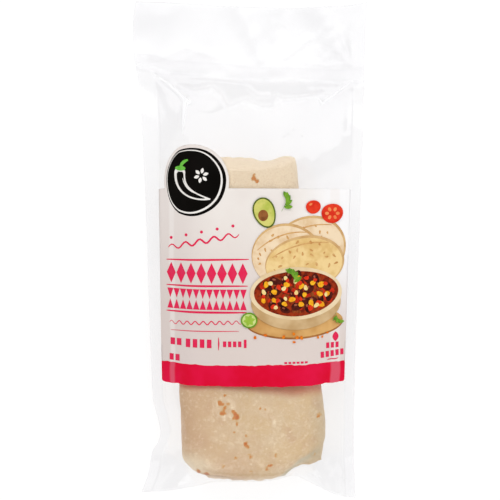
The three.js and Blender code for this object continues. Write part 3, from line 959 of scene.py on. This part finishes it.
def tortilla_form(settings, across, up):
    """Places of the tortilla's grid wrapped round, how full its section is there, and which are in front."""
    columns, rows = ROUND_COLUMNS, 2 * END_ROWS + BODY_ROWS
    column = np.rint(across * columns).astype(int)
    row = np.rint(up * rows).astype(int)
    round_x, round_z = section(columns)
    from_bottom, from_top, offset, full = (values[row] for values in tortilla_rows())
    inset = settings.clearance / MM
    nominal = from_bottom * min(y for _, y in FOLDED_END) + from_top * TOP_Y + offset
    near_end = np.clip(1 - np.abs(offset) / CORNER_ROUND, 0, 1)
    corner = CORNER_ROUND * (1 - np.sqrt(1 - near_end ** 2))
    left = through(BURRITO_LEFT, nominal) + inset + corner * (from_bottom + 0.5 * from_top)
    right = through(BURRITO_RIGHT, nominal) - inset - 0.35 * corner
    x = (left + right) / 2 + (right - left) / 2 * round_x[column]
    ragged = 0.3 * ripple(x, 0, 0, 3.5, 28) + 0.15 * ripple(x, 0, 0, 1.4, 29)
    bottom = through(FOLDED_END, x) + inset + ragged
    top = through(TOP_END, x) - inset + 0.6 * ragged
    y = from_bottom * bottom + from_top * top + offset
    turn = 2 * math.pi / LUMP_LENGTH
    lump = LUMP_HEIGHT * (np.sin(turn * (x + 0.4 * y)) + np.sin(turn * (0.8 * y - 0.5 * x) + 1))
    front = round_z[column] >= 0
    bulge = np.where(front, through(FRONT_BULGE, y) + lump, BACK_BULGE) - inset
    z = np.maximum(AXIS_HEIGHT + bulge * round_z[column] * full, inset)
    return np.column_stack((x, y, z)), full, front


def build_tortilla(settings):
    """The wrapped burrito: a rounded roll with its folded ends, its seam, blisters and spots."""
    piece, across, up = grid("tortilla", ROUND_COLUMNS, 2 * END_ROWS + BODY_ROWS)
    points, full, front = tortilla_form(settings, across, up)
    x, y, z = points.T.copy()
    place(piece.data, points)
    marks, rise = tortilla_marks(x, y, z, front)
    relief, marks["painted_crevice_shade"] = tortilla_relief(x, y, z)
    rise *= settings.blister / MM
    points += rows_of(piece.data, "normal") * ((relief + rise) * smooth(full, 0, 0.35))[:, None]
    points[:, 2] -= 0.7 * front * smooth(y, LABEL_BOTTOM - 12, LABEL_BOTTOM - 2) * (1 - smooth(y, 10, 24))
    seat(points, front)
    place(piece.data, points)
    for name, values in marks.items():
        paint(piece.data, name, values)
    edit(piece, merge, bpy.ops.mesh.normals_make_consistent)
    soften_shading(piece)
    finish_piece(piece, "tortilla", tortilla_finish(settings), "bag")
    return piece


def arc(x, y, radius, start, end, count):
    """Points along an arc, with its angles in degrees."""
    return [(x + radius * math.cos(math.radians(a)), y + radius * math.sin(math.radians(a)))
            for a in np.linspace(start, end, count)]


def wrapped(distance):
    """How far left of the badge's middle a printed distance reaches, as it goes over the side."""
    return min(distance, BADGE_FLAT) + BADGE_SLOPE * max(0, distance - BADGE_FLAT)


def badge_round(radius, shift=(0, 0), wobble=0.0, count=96):
    """The outline of a round print on the badge."""
    points = []
    for turn in np.linspace(0, 2 * math.pi, count, endpoint=False):
        now = radius * (1 + wobble * math.sin(3 * turn + 1) + 0.6 * wobble * math.sin(7 * turn))
        across = shift[0] + now * math.cos(turn)
        across = across if across > 0 else -wrapped(-across)
        points.append((BADGE_X + across, BADGE_Y + shift[1] + now * math.sin(turn)))
    return points


def label_side(side, y):
    """The label's left (-1) or right (1) edge at a height."""
    if side < 0:
        return float(through(LEFT_SIDE, y) + through(LEFT_SEAL, y)) + LABEL_MARGIN
    return float(through(RIGHT_SIDE, y)) - RIGHT_SEAL - LABEL_MARGIN


def rough_line(start, end, count, y, *waves):
    """A line across the label with a rough edge, given by the height, size and seed of its waves."""
    x = np.linspace(start, end, count)
    rough = sum(height * ripple(x, 0, 0, size, seed) for height, size, seed in waves)
    return [(float(a), float(y + r)) for a, r in zip(x, rough)]


def low_edge():
    """The label's lower edge, with its two round corners and its slightly rough cut."""
    corner, y = LABEL_CORNER, LABEL_BOTTOM
    left, right = label_side(-1, y), label_side(1, y)
    points = arc(left + corner, y + corner, corner, 180, 270, 6)
    points += rough_line(left + 2 * corner, right - 2 * corner, 120, y, (0.12, 4, 53), (0.1, 1.3, 54))
    return points + arc(right - corner, y + corner, corner, 270, 360, 6)


def label_outline():
    """The die-cut outline: an oblong with small round corners, and the badge over its top left."""
    corner, y = LABEL_TOP_CORNER, LABEL_TOP
    points = low_edge() + arc(label_side(1, y) - corner, y - corner, corner, 0, 90, 5)
    over = [p for p in badge_round(BADGE_RADIUS, count=180) if p[1] > y + 0.1]
    start = next(i for i in range(len(over)) if over[i - 1][0] < over[i][0] - 5)
    points += over[start:] + over[:start]
    return points + arc(label_side(-1, y) + corner, y - corner, corner, 90, 180, 5)


def add_outline(points, height):
    """Adds a filled outline to the piece that is being edited, at a height in millimetres."""
    bpy.ops.mesh.primitive_circle_add(vertices=len(points), fill_type="NGON")
    mesh = bmesh.from_edit_mesh(bpy.context.edit_object.data)
    fresh = [v for v in mesh.verts if v.select]
    for vertex, (x, y) in zip(fresh, points):
        vertex.co = (x * MM, y * MM, height * MM)


def dice(piece, step):
    """Cuts flat faces into small cells, so that they can follow a curved surface."""
    mesh = bmesh.new()
    mesh.from_mesh(piece.data)
    for axis in (Vector((1, 0, 0)), Vector((0, 1, 0))):
        along = [v.co.dot(axis) / MM for v in mesh.verts]
        for k in range(math.ceil(min(along) / step), math.floor(max(along) / step) + 1):
            whole = mesh.verts[:] + mesh.edges[:] + mesh.faces[:]
            bmesh.ops.bisect_plane(
                mesh, geom=whole, dist=1e-7, plane_co=axis * (k * step * MM), plane_no=axis)
    mesh.to_mesh(piece.data)
    mesh.free()


# How much higher, in millimetres, each shape of a print lies than the one before, and its cells' size.
OVERLAP = 0.001
CELL = 1.1


def flat_print(name, outlines):
    """A flat piece with one face for each outline, cut into small cells."""
    piece = bpy.data.objects.new(name, bpy.data.meshes.new(name))
    bpy.context.scene.collection.objects.link(piece)
    only(piece)
    bpy.ops.object.mode_set(mode="EDIT")
    for k, points in enumerate(outlines):
        add_outline(points, k * OVERLAP)
    bpy.ops.object.mode_set(mode="OBJECT")
    edit(piece, bpy.ops.mesh.normals_make_consistent)
    dice(piece, CELL)
    if piece.data.polygons[0].normal.z < 0:
        edit(piece, bpy.ops.mesh.flip_normals)
    return piece


def drape(piece, tree, lift):
    """Lays a flat piece on a surface, at a height above it in millimetres."""
    points = places(piece.data)
    points[:, 2] += heights_on(tree, points[:, 0], points[:, 1], 1) + lift
    place(piece.data, points)
    soften_shading(piece)


def build_label(settings, film):
    """The die-cut label, which follows the film and stands off it a little along its lower edge."""
    piece = flat_print("label_sheet", [label_outline()])
    drape(piece, tree_of(film), (settings.gap + settings.thickness) / MM)
    x, y, z = places(piece.data).T
    low = 1 - smooth(y, LABEL_BOTTOM, LABEL_BOTTOM + 14)
    place(piece.data, x, y, z + LABEL_LIFT * low * smooth(x, -20, 12) * (1 - smooth(x, 26, 38)))
    only(piece)
    sheet = piece.modifiers.new("Sheet", "SOLIDIFY")
    sheet.thickness, sheet.offset = settings.thickness, -1
    bpy.ops.object.modifier_apply(modifier=sheet.name)
    soften_shading(piece)
    finish_piece(piece, "label", paper_finish(settings), "label")
    return piece


def turned(points, x, y, turn):
    """Points turned by an angle in degrees and moved to a place."""
    c, s = math.cos(math.radians(turn)), math.sin(math.radians(turn))
    return [(x + a * c - b * s, y + a * s + b * c) for a, b in points]


def bars(count, step, x, y, wide, tall, climb=0.0, turn=0):
    """A row of small oblongs, which can climb as it goes."""
    a, b = wide / 2, tall / 2
    corners = [(-a, -b), (a, -b), (a, b), (-a, b)]
    return [turned(corners, x + step * k, y + climb * k, turn) for k in range(count)]


def oval(x, y, wide, tall, turn=0, count=18, wobble=0.0, seed=0):
    """An oval with an uneven edge, turned by an angle in degrees."""
    points = []
    for a in np.linspace(0, 2 * math.pi, count, endpoint=False):
        now = 1 + wobble * math.sin(2 * a + seed) + wobble * math.sin(3 * a + 2.1 * seed)
        points.append((wide / 2 * now * math.cos(a), tall / 2 * now * math.sin(a)))
    return turned(points, x, y, turn)


def leaf(x, y, long, wide, turn):
    """A pointed leaf that starts at a place and runs along an angle in degrees."""
    edge = [(t * long, wide / 2 * math.sin(math.pi * t) ** 0.8) for t in np.linspace(0, 1, 9)]
    return turned(edge + [(t, -w) for t, w in edge[-2:0:-1]], x, y, turn)


def ribbon(path, width, taper=0.0):
    """A stroke along a path, thinner at its two ends, or tapering to its far end."""
    path = np.array(path, float)
    way = np.gradient(path, axis=0)
    way /= np.linalg.norm(way, axis=1)[:, None]
    share = np.linspace(0, 1, len(path))
    half = width / 2 * (0.35 + 0.65 * np.sin(math.pi * share) ** 0.5)
    if taper:
        half = width / 2 * np.clip(1 - share ** 2, 0.02, 1) ** taper * smooth(share, -0.08, 0.06)
    side = np.column_stack((-way[:, 1], way[:, 0])) * half[:, None]
    return [tuple(p) for p in np.concatenate((path + side, (path - side)[::-1]))]


def bow(start, bend, end, count=24):
    """A curve from a start to an end, drawn towards a bend."""
    start, bend, end = (np.array(p, float) for p in (start, bend, end))
    return [tuple((1 - t) ** 2 * start + 2 * t * (1 - t) * bend + t * t * end)
            for t in np.linspace(0, 1, count)]


def wave(x, y, long, rise, tall, waves, turns=40):
    """The path of a wavy line that climbs as it goes."""
    return [(x + long * t, y + rise * t + tall * math.sin(2 * math.pi * waves * t))
            for t in np.linspace(0, 1, turns)]


def rule(x, y, long, rise, width):
    """A straight line that climbs as it goes."""
    return ribbon(wave(x, y, long, rise, 0, 1), width)


def band_outline(settings):
    """The band along the label's bottom, with a rough, brushed upper edge."""
    top = LABEL_BOTTOM + settings.band_height / MM
    left, right = label_side(-1, LABEL_BOTTOM), label_side(1, LABEL_BOTTOM)
    return low_edge() + rough_line(right, left, 150, top, (0.14, 5, 51), (0.1, 1.5, 52))


def ornament_outlines():
    """Rows of plain ornament in the places of the headline and the small print."""
    made = [ribbon(wave(-38, 3.2, 33, 6.4, 1.2, 5), 0.9)]
    made += [oval(-36.6 + 7.2 * k, 7.8 + 1.4 * k, 1.4, 1.4) for k in range(5)]
    made += [rule(-39, -2.4, 38.5, 0.6, 0.9), rule(-39, -14.2, 38, 0.2, 0.9)]
    for k in range(8):
        x = -36.6 + 4.76 * k
        made.append([(x, -13.1), (x + 2.2, -8.3), (x, -3.5), (x - 2.2, -8.3)])
    for k in range(12):
        x = -38.6 + 3.1 * k
        made += [[(x, -25), (x + 3, -25), (x + 1.5, -20.6)], [(x, -15.6), (x + 1.5, -20), (x + 3, -15.6)]]
    made += [rule(-39, -26.3, 37.5, 0.2, 1), ribbon(wave(-37.5, -31.6, 34, 1, 0.8, 9, 90), 0.5)]
    made.append(rule(-37, -35.2, 32, 0.6, 0.4))
    made += bars(2, 3.1, -36, -40.4, 2.2, 3.2) + bars(4, 3.3, -28.6, -40.6, 2.1, 3.9)
    made.append(ribbon([(-14.4, -37.6), (-14.3, -40.4), (-14.4, -43.4)], 0.7))
    made += bars(4, 2.3, -11.6, -40.6, 1.5, 2.6) + bars(1, 0, -2.2, -40.4, 1.2, 3.8)
    return made + bars(2, 2.9, -36.6, -47.8, 2, 3)


def corner_outlines():
    """A small drop and a few strokes in the label's lower right corner."""
    made = [leaf(40, -40.8, 4.6, 3, 90)]
    made += bars(3, 2.3, 36.2, -42.4, 1.5, 2.6) + bars(5, 2.4, 33.6, -46.6, 1.6, 2.8, 0.16, 2)
    made.append(ribbon(wave(36, -49.2, 5.4, 0.5, 0.2, 1), 0.5))
    return made + bars(6, 1.9, 16.4, -49.4, 1.3, 0.9)


# Small shapes of the picture, as their height for a width of 1, their corners and their unevenness.
BEAN, FLECK, KERNEL, CHUNK = (0.62, 14, 0.07), (0.55, 9, 0.16), (0.78, 9, 0.09), (0.8, 6, 0.12)
BOWL_X, BOWL_Y = 21.5, -17.5


def scattered(shape, count, seed, size, apart, wide=16.6, tall=8.2, x=BOWL_X, y=BOWL_Y):
    """Many small shapes spread over an oval, which is the inside of the bowl unless another is given."""
    flat, corners, uneven = shape
    draw = np.random.default_rng(seed)
    spots, made = [], []
    for _ in range(count * 40):
        turn, reach = draw.uniform(0, 2 * math.pi), math.sqrt(draw.uniform(0, 1))
        spot = x + wide * reach * math.cos(turn), y + tall * reach * math.sin(turn)
        if len(spots) < count and all(math.dist(spot, other) > apart for other in spots):
            spots.append(spot)
            now, swing = size * draw.uniform(0.8, 1.25), draw.uniform(0, 180)
            made.append(oval(*spot, now, now * flat, swing, corners, uneven, len(spots)))
    return made


def leaf_spray(x, y, size, turn):
    """Five small leaves on a stem."""
    reaches = [size * (0.35 + 0.16 * k) for k in range(5)]
    bases = turned([(reach, 0) for reach in reaches], x, y, turn)
    swings = (-60, -28, 0, 28, 60)
    made = [ribbon(turned([(0, 0), (size, 0)], x, y, turn), 0.4)]
    return made + [leaf(*base, size * 0.62, size * 0.3, turn + swing) for base, swing in zip(bases, swings)]


# Each printed piece is a row: its name, the layer it lies in, its outlines, its two tones on a screen and
# how fine the mottle between them is. Where the first tone is None, it is the colour in the settings.
def round_rows():
    """A board and a stack of flour rounds behind the bowl, the last of them golden, with toasted flecks."""
    rows = [
        ("board_edge", 1, [oval(20.8, -31.4, 45.4, 14.4, 0, 60)], (176, 118, 66), (150, 96, 52), 120),
        ("board", 2, [oval(20.8, -30.7, 45.4, 14, 0, 60)], (222, 176, 112), (198, 146, 84), 60),
    ]
    pale, golden = ((240, 217, 184), (224, 192, 150)), ((238, 208, 148), (222, 184, 118))
    rounds = ((27.6, 2.4, 35, 31, 14, pale), (17.4, -0.6, 33.4, 30, -16, pale),
              (25.6, -3.6, 37, 25, 6, golden))
    for k, (x, y, wide, tall, turn, tones) in enumerate(rounds):
        flecks = scattered(FLECK, 26, 70 + k, 1.7, 2.1, wide * 0.42, tall * 0.4, x, y)
        fold = bow((x - 0.42 * wide, y + 0.1 * tall), (x - 0.1 * wide, y + 0.42 * tall),
                   (x + 0.3 * wide, y + 0.36 * tall))
        edge = oval(x, y, wide, tall, turn, 60, 0.008, k)
        face = oval(x - 0.3, y - 0.5, wide - 1.3, tall - 1.3, turn, 60, 0.008, k)
        name, layer = f"round_{k + 1}", 3 + 3 * k
        rows += [
            (name + "_edge", layer, [edge], (216, 178, 124), (200, 156, 102), 200),
            (name, layer + 1, [face], *tones, 130),
            (name + "_marks", layer + 2, [ribbon(fold, 0.6)] + flecks, (214, 168, 108), (196, 138, 78), 400),
        ]
    return rows


def bowl_rows():
    """A wide bowl, full of beans, corn, peppers and cheese in a red sauce, and sprays of leaves."""
    shine = scattered(BEAN, 26, 62, 1.3, 3.3, x=BOWL_X - 0.6, y=BOWL_Y + 0.8)
    leaves = leaf_spray(14.4, 20, 6.6, 62) + leaf_spray(39.8, -27.4, 4.4, -66)
    leaves += leaf_spray(20.6, -14.6, 6.6, 96)
    return [
        ("bowl", 12, [oval(BOWL_X, BOWL_Y - 4.4, 42, 24.5, 0, 60)], (214, 184, 140), (188, 152, 104), 60),
        ("bowl_rim", 13, [oval(BOWL_X, BOWL_Y, 43, 24, 0, 60)], (236, 214, 176), (222, 194, 150), 80),
        ("sauce", 14, [oval(BOWL_X, BOWL_Y, 39.4, 20.6, 0, 52, 0.015)], (158, 54, 22), (104, 30, 16), 420),
        ("pepper", 15, scattered(CHUNK, 34, 61, 3.4, 2.2), (206, 50, 24), (172, 34, 18), 500),
        ("mince", 16, scattered(CHUNK, 40, 66, 2.2, 1.9), (150, 74, 34), (118, 50, 24), 700),
        ("beans", 17, scattered(BEAN, 26, 62, 4.6, 3.3), (84, 30, 22), (48, 16, 14), 400),
        ("bean_shine", 18, shine, (160, 92, 70), (140, 72, 54), 400),
        ("corn", 19, scattered(KERNEL, 17, 63, 3, 3.6), (246, 184, 40), (232, 148, 24), 600),
        ("red_bits", 20, scattered(CHUNK, 14, 67, 2.6, 3.2), (222, 58, 28), (196, 40, 22), 500),
        ("cheese", 21, scattered(KERNEL, 11, 68, 2.3, 4), (244, 222, 160), (236, 204, 128), 600),
        ("leaves", 22, leaves, (124, 168, 52), (84, 132, 40), 500),
    ]


def fruit_rows():
    """An avocado half, two tomatoes, a lime slice and a few crumbs."""
    tomatoes = [oval(38.2, 19, 10.4, 9, 0, 26, 0.02), oval(29.2, 22, 7, 6.2, 0, 22, 0.02)]
    seeds = [oval(38.2 + 2.6 * math.cos(a), 19 + 2.1 * math.sin(a), 2, 1.5, math.degrees(a), 10)
             for a in np.linspace(0, 2 * math.pi, 6, endpoint=False)]
    seeds.append(oval(28, 23.2, 1.6, 1, 30, 10))
    parts = [leaf(-0.4, -29.6, 2.7, 1.6, a) for a in range(10, 370, 60)]
    crumbs = scattered(KERNEL, 10, 64, 1.5, 2, 20, 2.6, 20, -37.4)
    return [
        ("avocado_skin", 12, [oval(6.6, 19.6, 10.2, 14.2, 24, 30, 0.03)], (96, 112, 40), (76, 92, 34), 300),
        ("avocado", 13, [oval(6.6, 19.6, 8.8, 12.8, 24, 30, 0.03)], (214, 208, 118), (178, 188, 80), 120),
        ("avocado_stone", 14, [oval(6, 18.2, 4.6, 5.2, 0, 20)], (150, 94, 52), (120, 70, 38), 300),
        ("tomato", 12, tomatoes, (228, 62, 38), (206, 42, 26), 200),
        ("tomato_seeds", 13, seeds, (240, 150, 92), (236, 128, 74), 400),
        ("lime_rind", 14, [oval(-0.4, -29.6, 7.6, 7.2, 0, 26)], (112, 158, 44), (92, 138, 36), 300),
        ("lime", 15, [oval(-0.4, -29.6, 6.2, 5.8, 0, 26)], (206, 220, 140), (186, 208, 112), 300),
        ("lime_parts", 16, parts, (158, 192, 70), (146, 182, 60), 300),
        ("crumbs", 12, crumbs, (232, 132, 32), (208, 84, 28), 500),
    ]


def badge_rows():
    """The badge: a dark disc with a pale ring, a pale pepper pod with a green stalk, and a small flower."""
    dark, pale = (None, (14, 10, 8)), ((240, 236, 231), (230, 225, 219))

    def curved(start, bend, end, count, width, taper=0.0):
        """A curved stroke, drawn from the badge's middle."""
        path = bow(start, bend, end, count)
        return ribbon([(BADGE_X + a, BADGE_Y + b) for a, b in path], width, taper)

    pod = curved((-5.4, 6.2), (-7.6, -6.4), (8.6, -8), 30, 5.2, 0.6)
    hollow = curved((-5.4, 4.6), (-6.4, -5.6), (6, -7.6), 26, 3.3, 0.6)
    shine = curved((-4.2, 1.6), (-3.2, -3.6), (2.4, -5.6), 16, 0.5)
    stalk = curved((-5.4, 6.2), (-5, 9.2), (-1.8, 10), 12, 1.5)
    cap = oval(BADGE_X - 5.4, BADGE_Y + 6.2, 5, 2.2, -4, 18)
    petals = []
    for a in np.linspace(0.3, 2 * math.pi + 0.3, 6, endpoint=False):
        x, y = BADGE_X + 4.4 + 0.9 * math.cos(a), BADGE_Y + 2.8 + 0.9 * math.sin(a)
        petals.append(leaf(x, y, 2.6, 1.5, math.degrees(a)))
    return [
        ("edge", 1, [badge_round(15.7, (0.1, 0), 0.006)], *dark, 60),
        ("ring", 2, [badge_round(14.7, (-0.5, 0.1), 0.006)], *pale, 60),
        ("disc", 3, [badge_round(14.05, (-0.75, 0.3), 0.008)], *dark, 60),
        ("pod", 4, [pod] + petals, *pale, 300),
        ("pod_hollow", 5, [hollow], *dark, 60),
        ("shine", 6, [shine], *pale, 300),
        ("stalk", 7, [cap, stalk], (112, 190, 74), (92, 172, 60), 300),
    ]


# Strength of the painted highlight streaks on the band.
BAND_PAINTED_GLOSS = 0.6


def print_pieces(group, rows, tree, ink, main):
    """Lays printed shapes on the label, one piece for each row. Its main colour stands for None."""
    for name, layer, outlines, first, second, scale in rows:
        piece = flat_print(f"{group}_{name}", outlines)
        drape(piece, tree, layer * ink / MM)
        tones = tone(*first) if first else tuple(main), tone(*second)
        painted_gloss = BAND_PAINTED_GLOSS if name == "band" else 0
        finish_piece(piece, "ink", ink_finish(piece.name + "_ink", *tones, scale, painted_gloss=painted_gloss))


VENTS = [(15.6, 54.4), (17.6, 55.4), (20.2, 57.6), (24, 54.6)]
VENT_RADIUS, VENT_LIP, VENT_TILT = 0.38, 0.11, -18


def build_vents(film):
    """Four pinprick vents in the front layer, each with a raised lip."""
    x, y = np.array(VENTS).T
    lips = []
    for spot in zip(x * MM, y * MM, heights_on(tree_of(film), x, y, 1) * MM):
        bpy.ops.object.select_all(action="DESELECT")
        bpy.ops.mesh.primitive_torus_add(
            location=spot, major_radius=VENT_RADIUS * MM, minor_radius=VENT_LIP * MM,
            major_segments=20, minor_segments=8, rotation=(math.radians(VENT_TILT), 0, 0))
        bpy.ops.object.transform_apply(location=True, rotation=True, scale=True)
        bpy.ops.object.shade_smooth()
        lips.append(bpy.context.object)
    vents = join("vents", *lips)
    tones = tone(226, 226, 228), tone(216, 216, 219)
    finish_piece(vents, "film", ink_finish("vent_lip", *tones, 900, 0.25))


FLOOR_SIZE = 16
RIGHT_OVER_LEFT = 1.3
STUDIO_WHITE = (1, 1, 1, 1)


def build_stage(settings):
    """The floor, the lights and the camera."""
    bpy.ops.object.select_all(action="DESELECT")
    bpy.ops.mesh.primitive_plane_add(size=FLOOR_SIZE)
    floor = bpy.context.object
    floor.name = "floor"
    floor.data.materials.append(floor_finish(settings))
    aim_at = Vector((0, settings.aim, AXIS_HEIGHT * MM))
    lights = [
        ("key_light", (0.03, 0.53, 0.6), (1.1, 0.4), settings.key),
        ("strip_light", (0, 0.9, 0.36), (1.2, 0.16), settings.strip),
        ("left_light", (-0.62, -0.05, 0.34), (0.3, 0.8), settings.fill),
        ("right_light", (0.66, -0.02, 0.38), (0.3, 0.8), settings.fill * RIGHT_OVER_LEFT),
        ("foot_light", (0.1, -0.62, 0.5), (1.2, 0.6), settings.foot),
    ]
    for light in lights:
        add_light(*light, aim_at)
    bpy.context.scene.world = sky_round(settings)
    bpy.ops.object.camera_add(location=(0, settings.camera_foot, settings.camera_height))
    camera = bpy.context.object
    tilt = math.atan2(settings.camera_foot - settings.aim, settings.camera_height - aim_at.z)
    camera.rotation_euler = (-tilt, 0, 0)
    camera.data.lens = settings.lens
    camera.data.clip_start = 0.01
    bpy.context.scene.camera = camera
    bpy.context.scene.view_settings.view_transform = "Standard"


def sky_round(settings):
    """Even white light from all round, weaker low down than overhead."""
    world = bpy.data.worlds.new("studio")
    world.use_nodes = True
    sky = world.node_tree.nodes["Background"]
    sky.inputs["Color"].default_value = STUDIO_WHITE
    way = add_node(world, "TexCoord").outputs["Generated"]
    high = add_node(world, "SeparateXYZ", {"Vector": way}).outputs["Z"]
    strength = add_node(world, "MapRange", {
        "Value": high, "From Min": 0, "From Max": 1, "To Min": settings.horizon, "To Max": settings.zenith})
    world.node_tree.links.new(strength.outputs["Result"], sky.inputs["Strength"])
    return world


def add_light(name, location, size, watts, aim_at):
    """A soft oblong light that shines at a place and stays out of the picture."""
    bpy.ops.object.light_add(type="AREA", location=location)
    light = bpy.context.object
    light.name = name
    light.data.shape = "RECTANGLE"
    light.data.size, light.data.size_y = size
    light.data.energy = watts
    light.rotation_euler = (aim_at - light.location).to_track_quat("-Z", "Y").to_euler()
    light.visible_camera = False


class BuildFilm(bpy.types.Operator):
    """Build the clear film pouch with its seals and creases"""

    bl_idname = "burrito.film"
    bl_label = "Film"

    def execute(self, context):
        film = build_film(context.scene.burrito_film, bpy.data.objects["tortilla"])
        build_vents(film)
        return {"FINISHED"}


class BuildTortilla(bpy.types.Operator):
    """Build the wrapped tortilla inside the pouch"""

    bl_idname = "burrito.tortilla"
    bl_label = "Tortilla"

    def execute(self, context):
        build_tortilla(context.scene.burrito_tortilla)
        return {"FINISHED"}


class BuildLabel(bpy.types.Operator):
    """Build the die-cut label on the film"""

    bl_idname = "burrito.label"
    bl_label = "Label"

    def execute(self, context):
        build_label(context.scene.burrito_label, bpy.data.objects["film"])
        return {"FINISHED"}


class BuildPrint(bpy.types.Operator):
    """Print the band, the ornament, the picture and the badge on the label"""

    bl_idname = "burrito.print"
    bl_label = "Print"

    def execute(self, context):
        settings = context.scene.burrito_label
        tree = tree_of(bpy.data.objects["label_sheet"])
        ornament = ornament_outlines() + corner_outlines()
        rows = [
            ("band", 1, [band_outline(settings)], None, (216, 8, 44), 40),
            ("ornament", 1, ornament, (226, 40, 82), (220, 52, 90), 300),
        ]
        rows += round_rows() + bowl_rows() + fruit_rows()
        print_pieces("print", rows, tree, settings.ink, settings.band)
        print_pieces("badge", badge_rows(), tree, settings.ink, settings.badge)
        return {"FINISHED"}


class BuildStage(bpy.types.Operator):
    """Set the floor, the lights and the camera"""

    bl_idname = "burrito.stage"
    bl_label = "Stage"

    def execute(self, context):
        build_stage(context.scene.burrito_stage)
        return {"FINISHED"}


class BurritoPanel(bpy.types.Panel):
    bl_idname = "VIEW3D_PT_burrito"
    bl_label = "Burrito pack"
    bl_space_type = "VIEW_3D"
    bl_region_type = "UI"
    bl_category = "Burrito"

    def draw(self, context):
        for operator in OPERATORS:
            self.layout.operator(operator.bl_idname)


SETTINGS = {
    "burrito_film": FilmSettings,
    "burrito_tortilla": TortillaSettings,
    "burrito_label": LabelSettings,
    "burrito_stage": StageSettings,
}
OPERATORS = (BuildFilm, BuildTortilla, BuildLabel, BuildPrint, BuildStage)
CLASSES = (*SETTINGS.values(), *OPERATORS, BurritoPanel)


def register():
    """Adds the settings, the operators and the panel."""
    for made in CLASSES:
        bpy.utils.register_class(made)
    for name, group in SETTINGS.items():
        setattr(bpy.types.Scene, name, bpy.props.PointerProperty(type=group))


def unregister():
    """Takes away what register added."""
    for name in SETTINGS:
        delattr(bpy.types.Scene, name)
    for made in reversed(CLASSES):
        bpy.utils.unregister_class(made)


def main():
    """Builds the pack and its stage."""
    register()
    bpy.ops.burrito.tortilla()
    bpy.ops.burrito.film()
    bpy.ops.burrito.label()
    bpy.ops.burrito.print()
    bpy.ops.burrito.stage()
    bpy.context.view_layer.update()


if __name__ == "__main__":
    main()
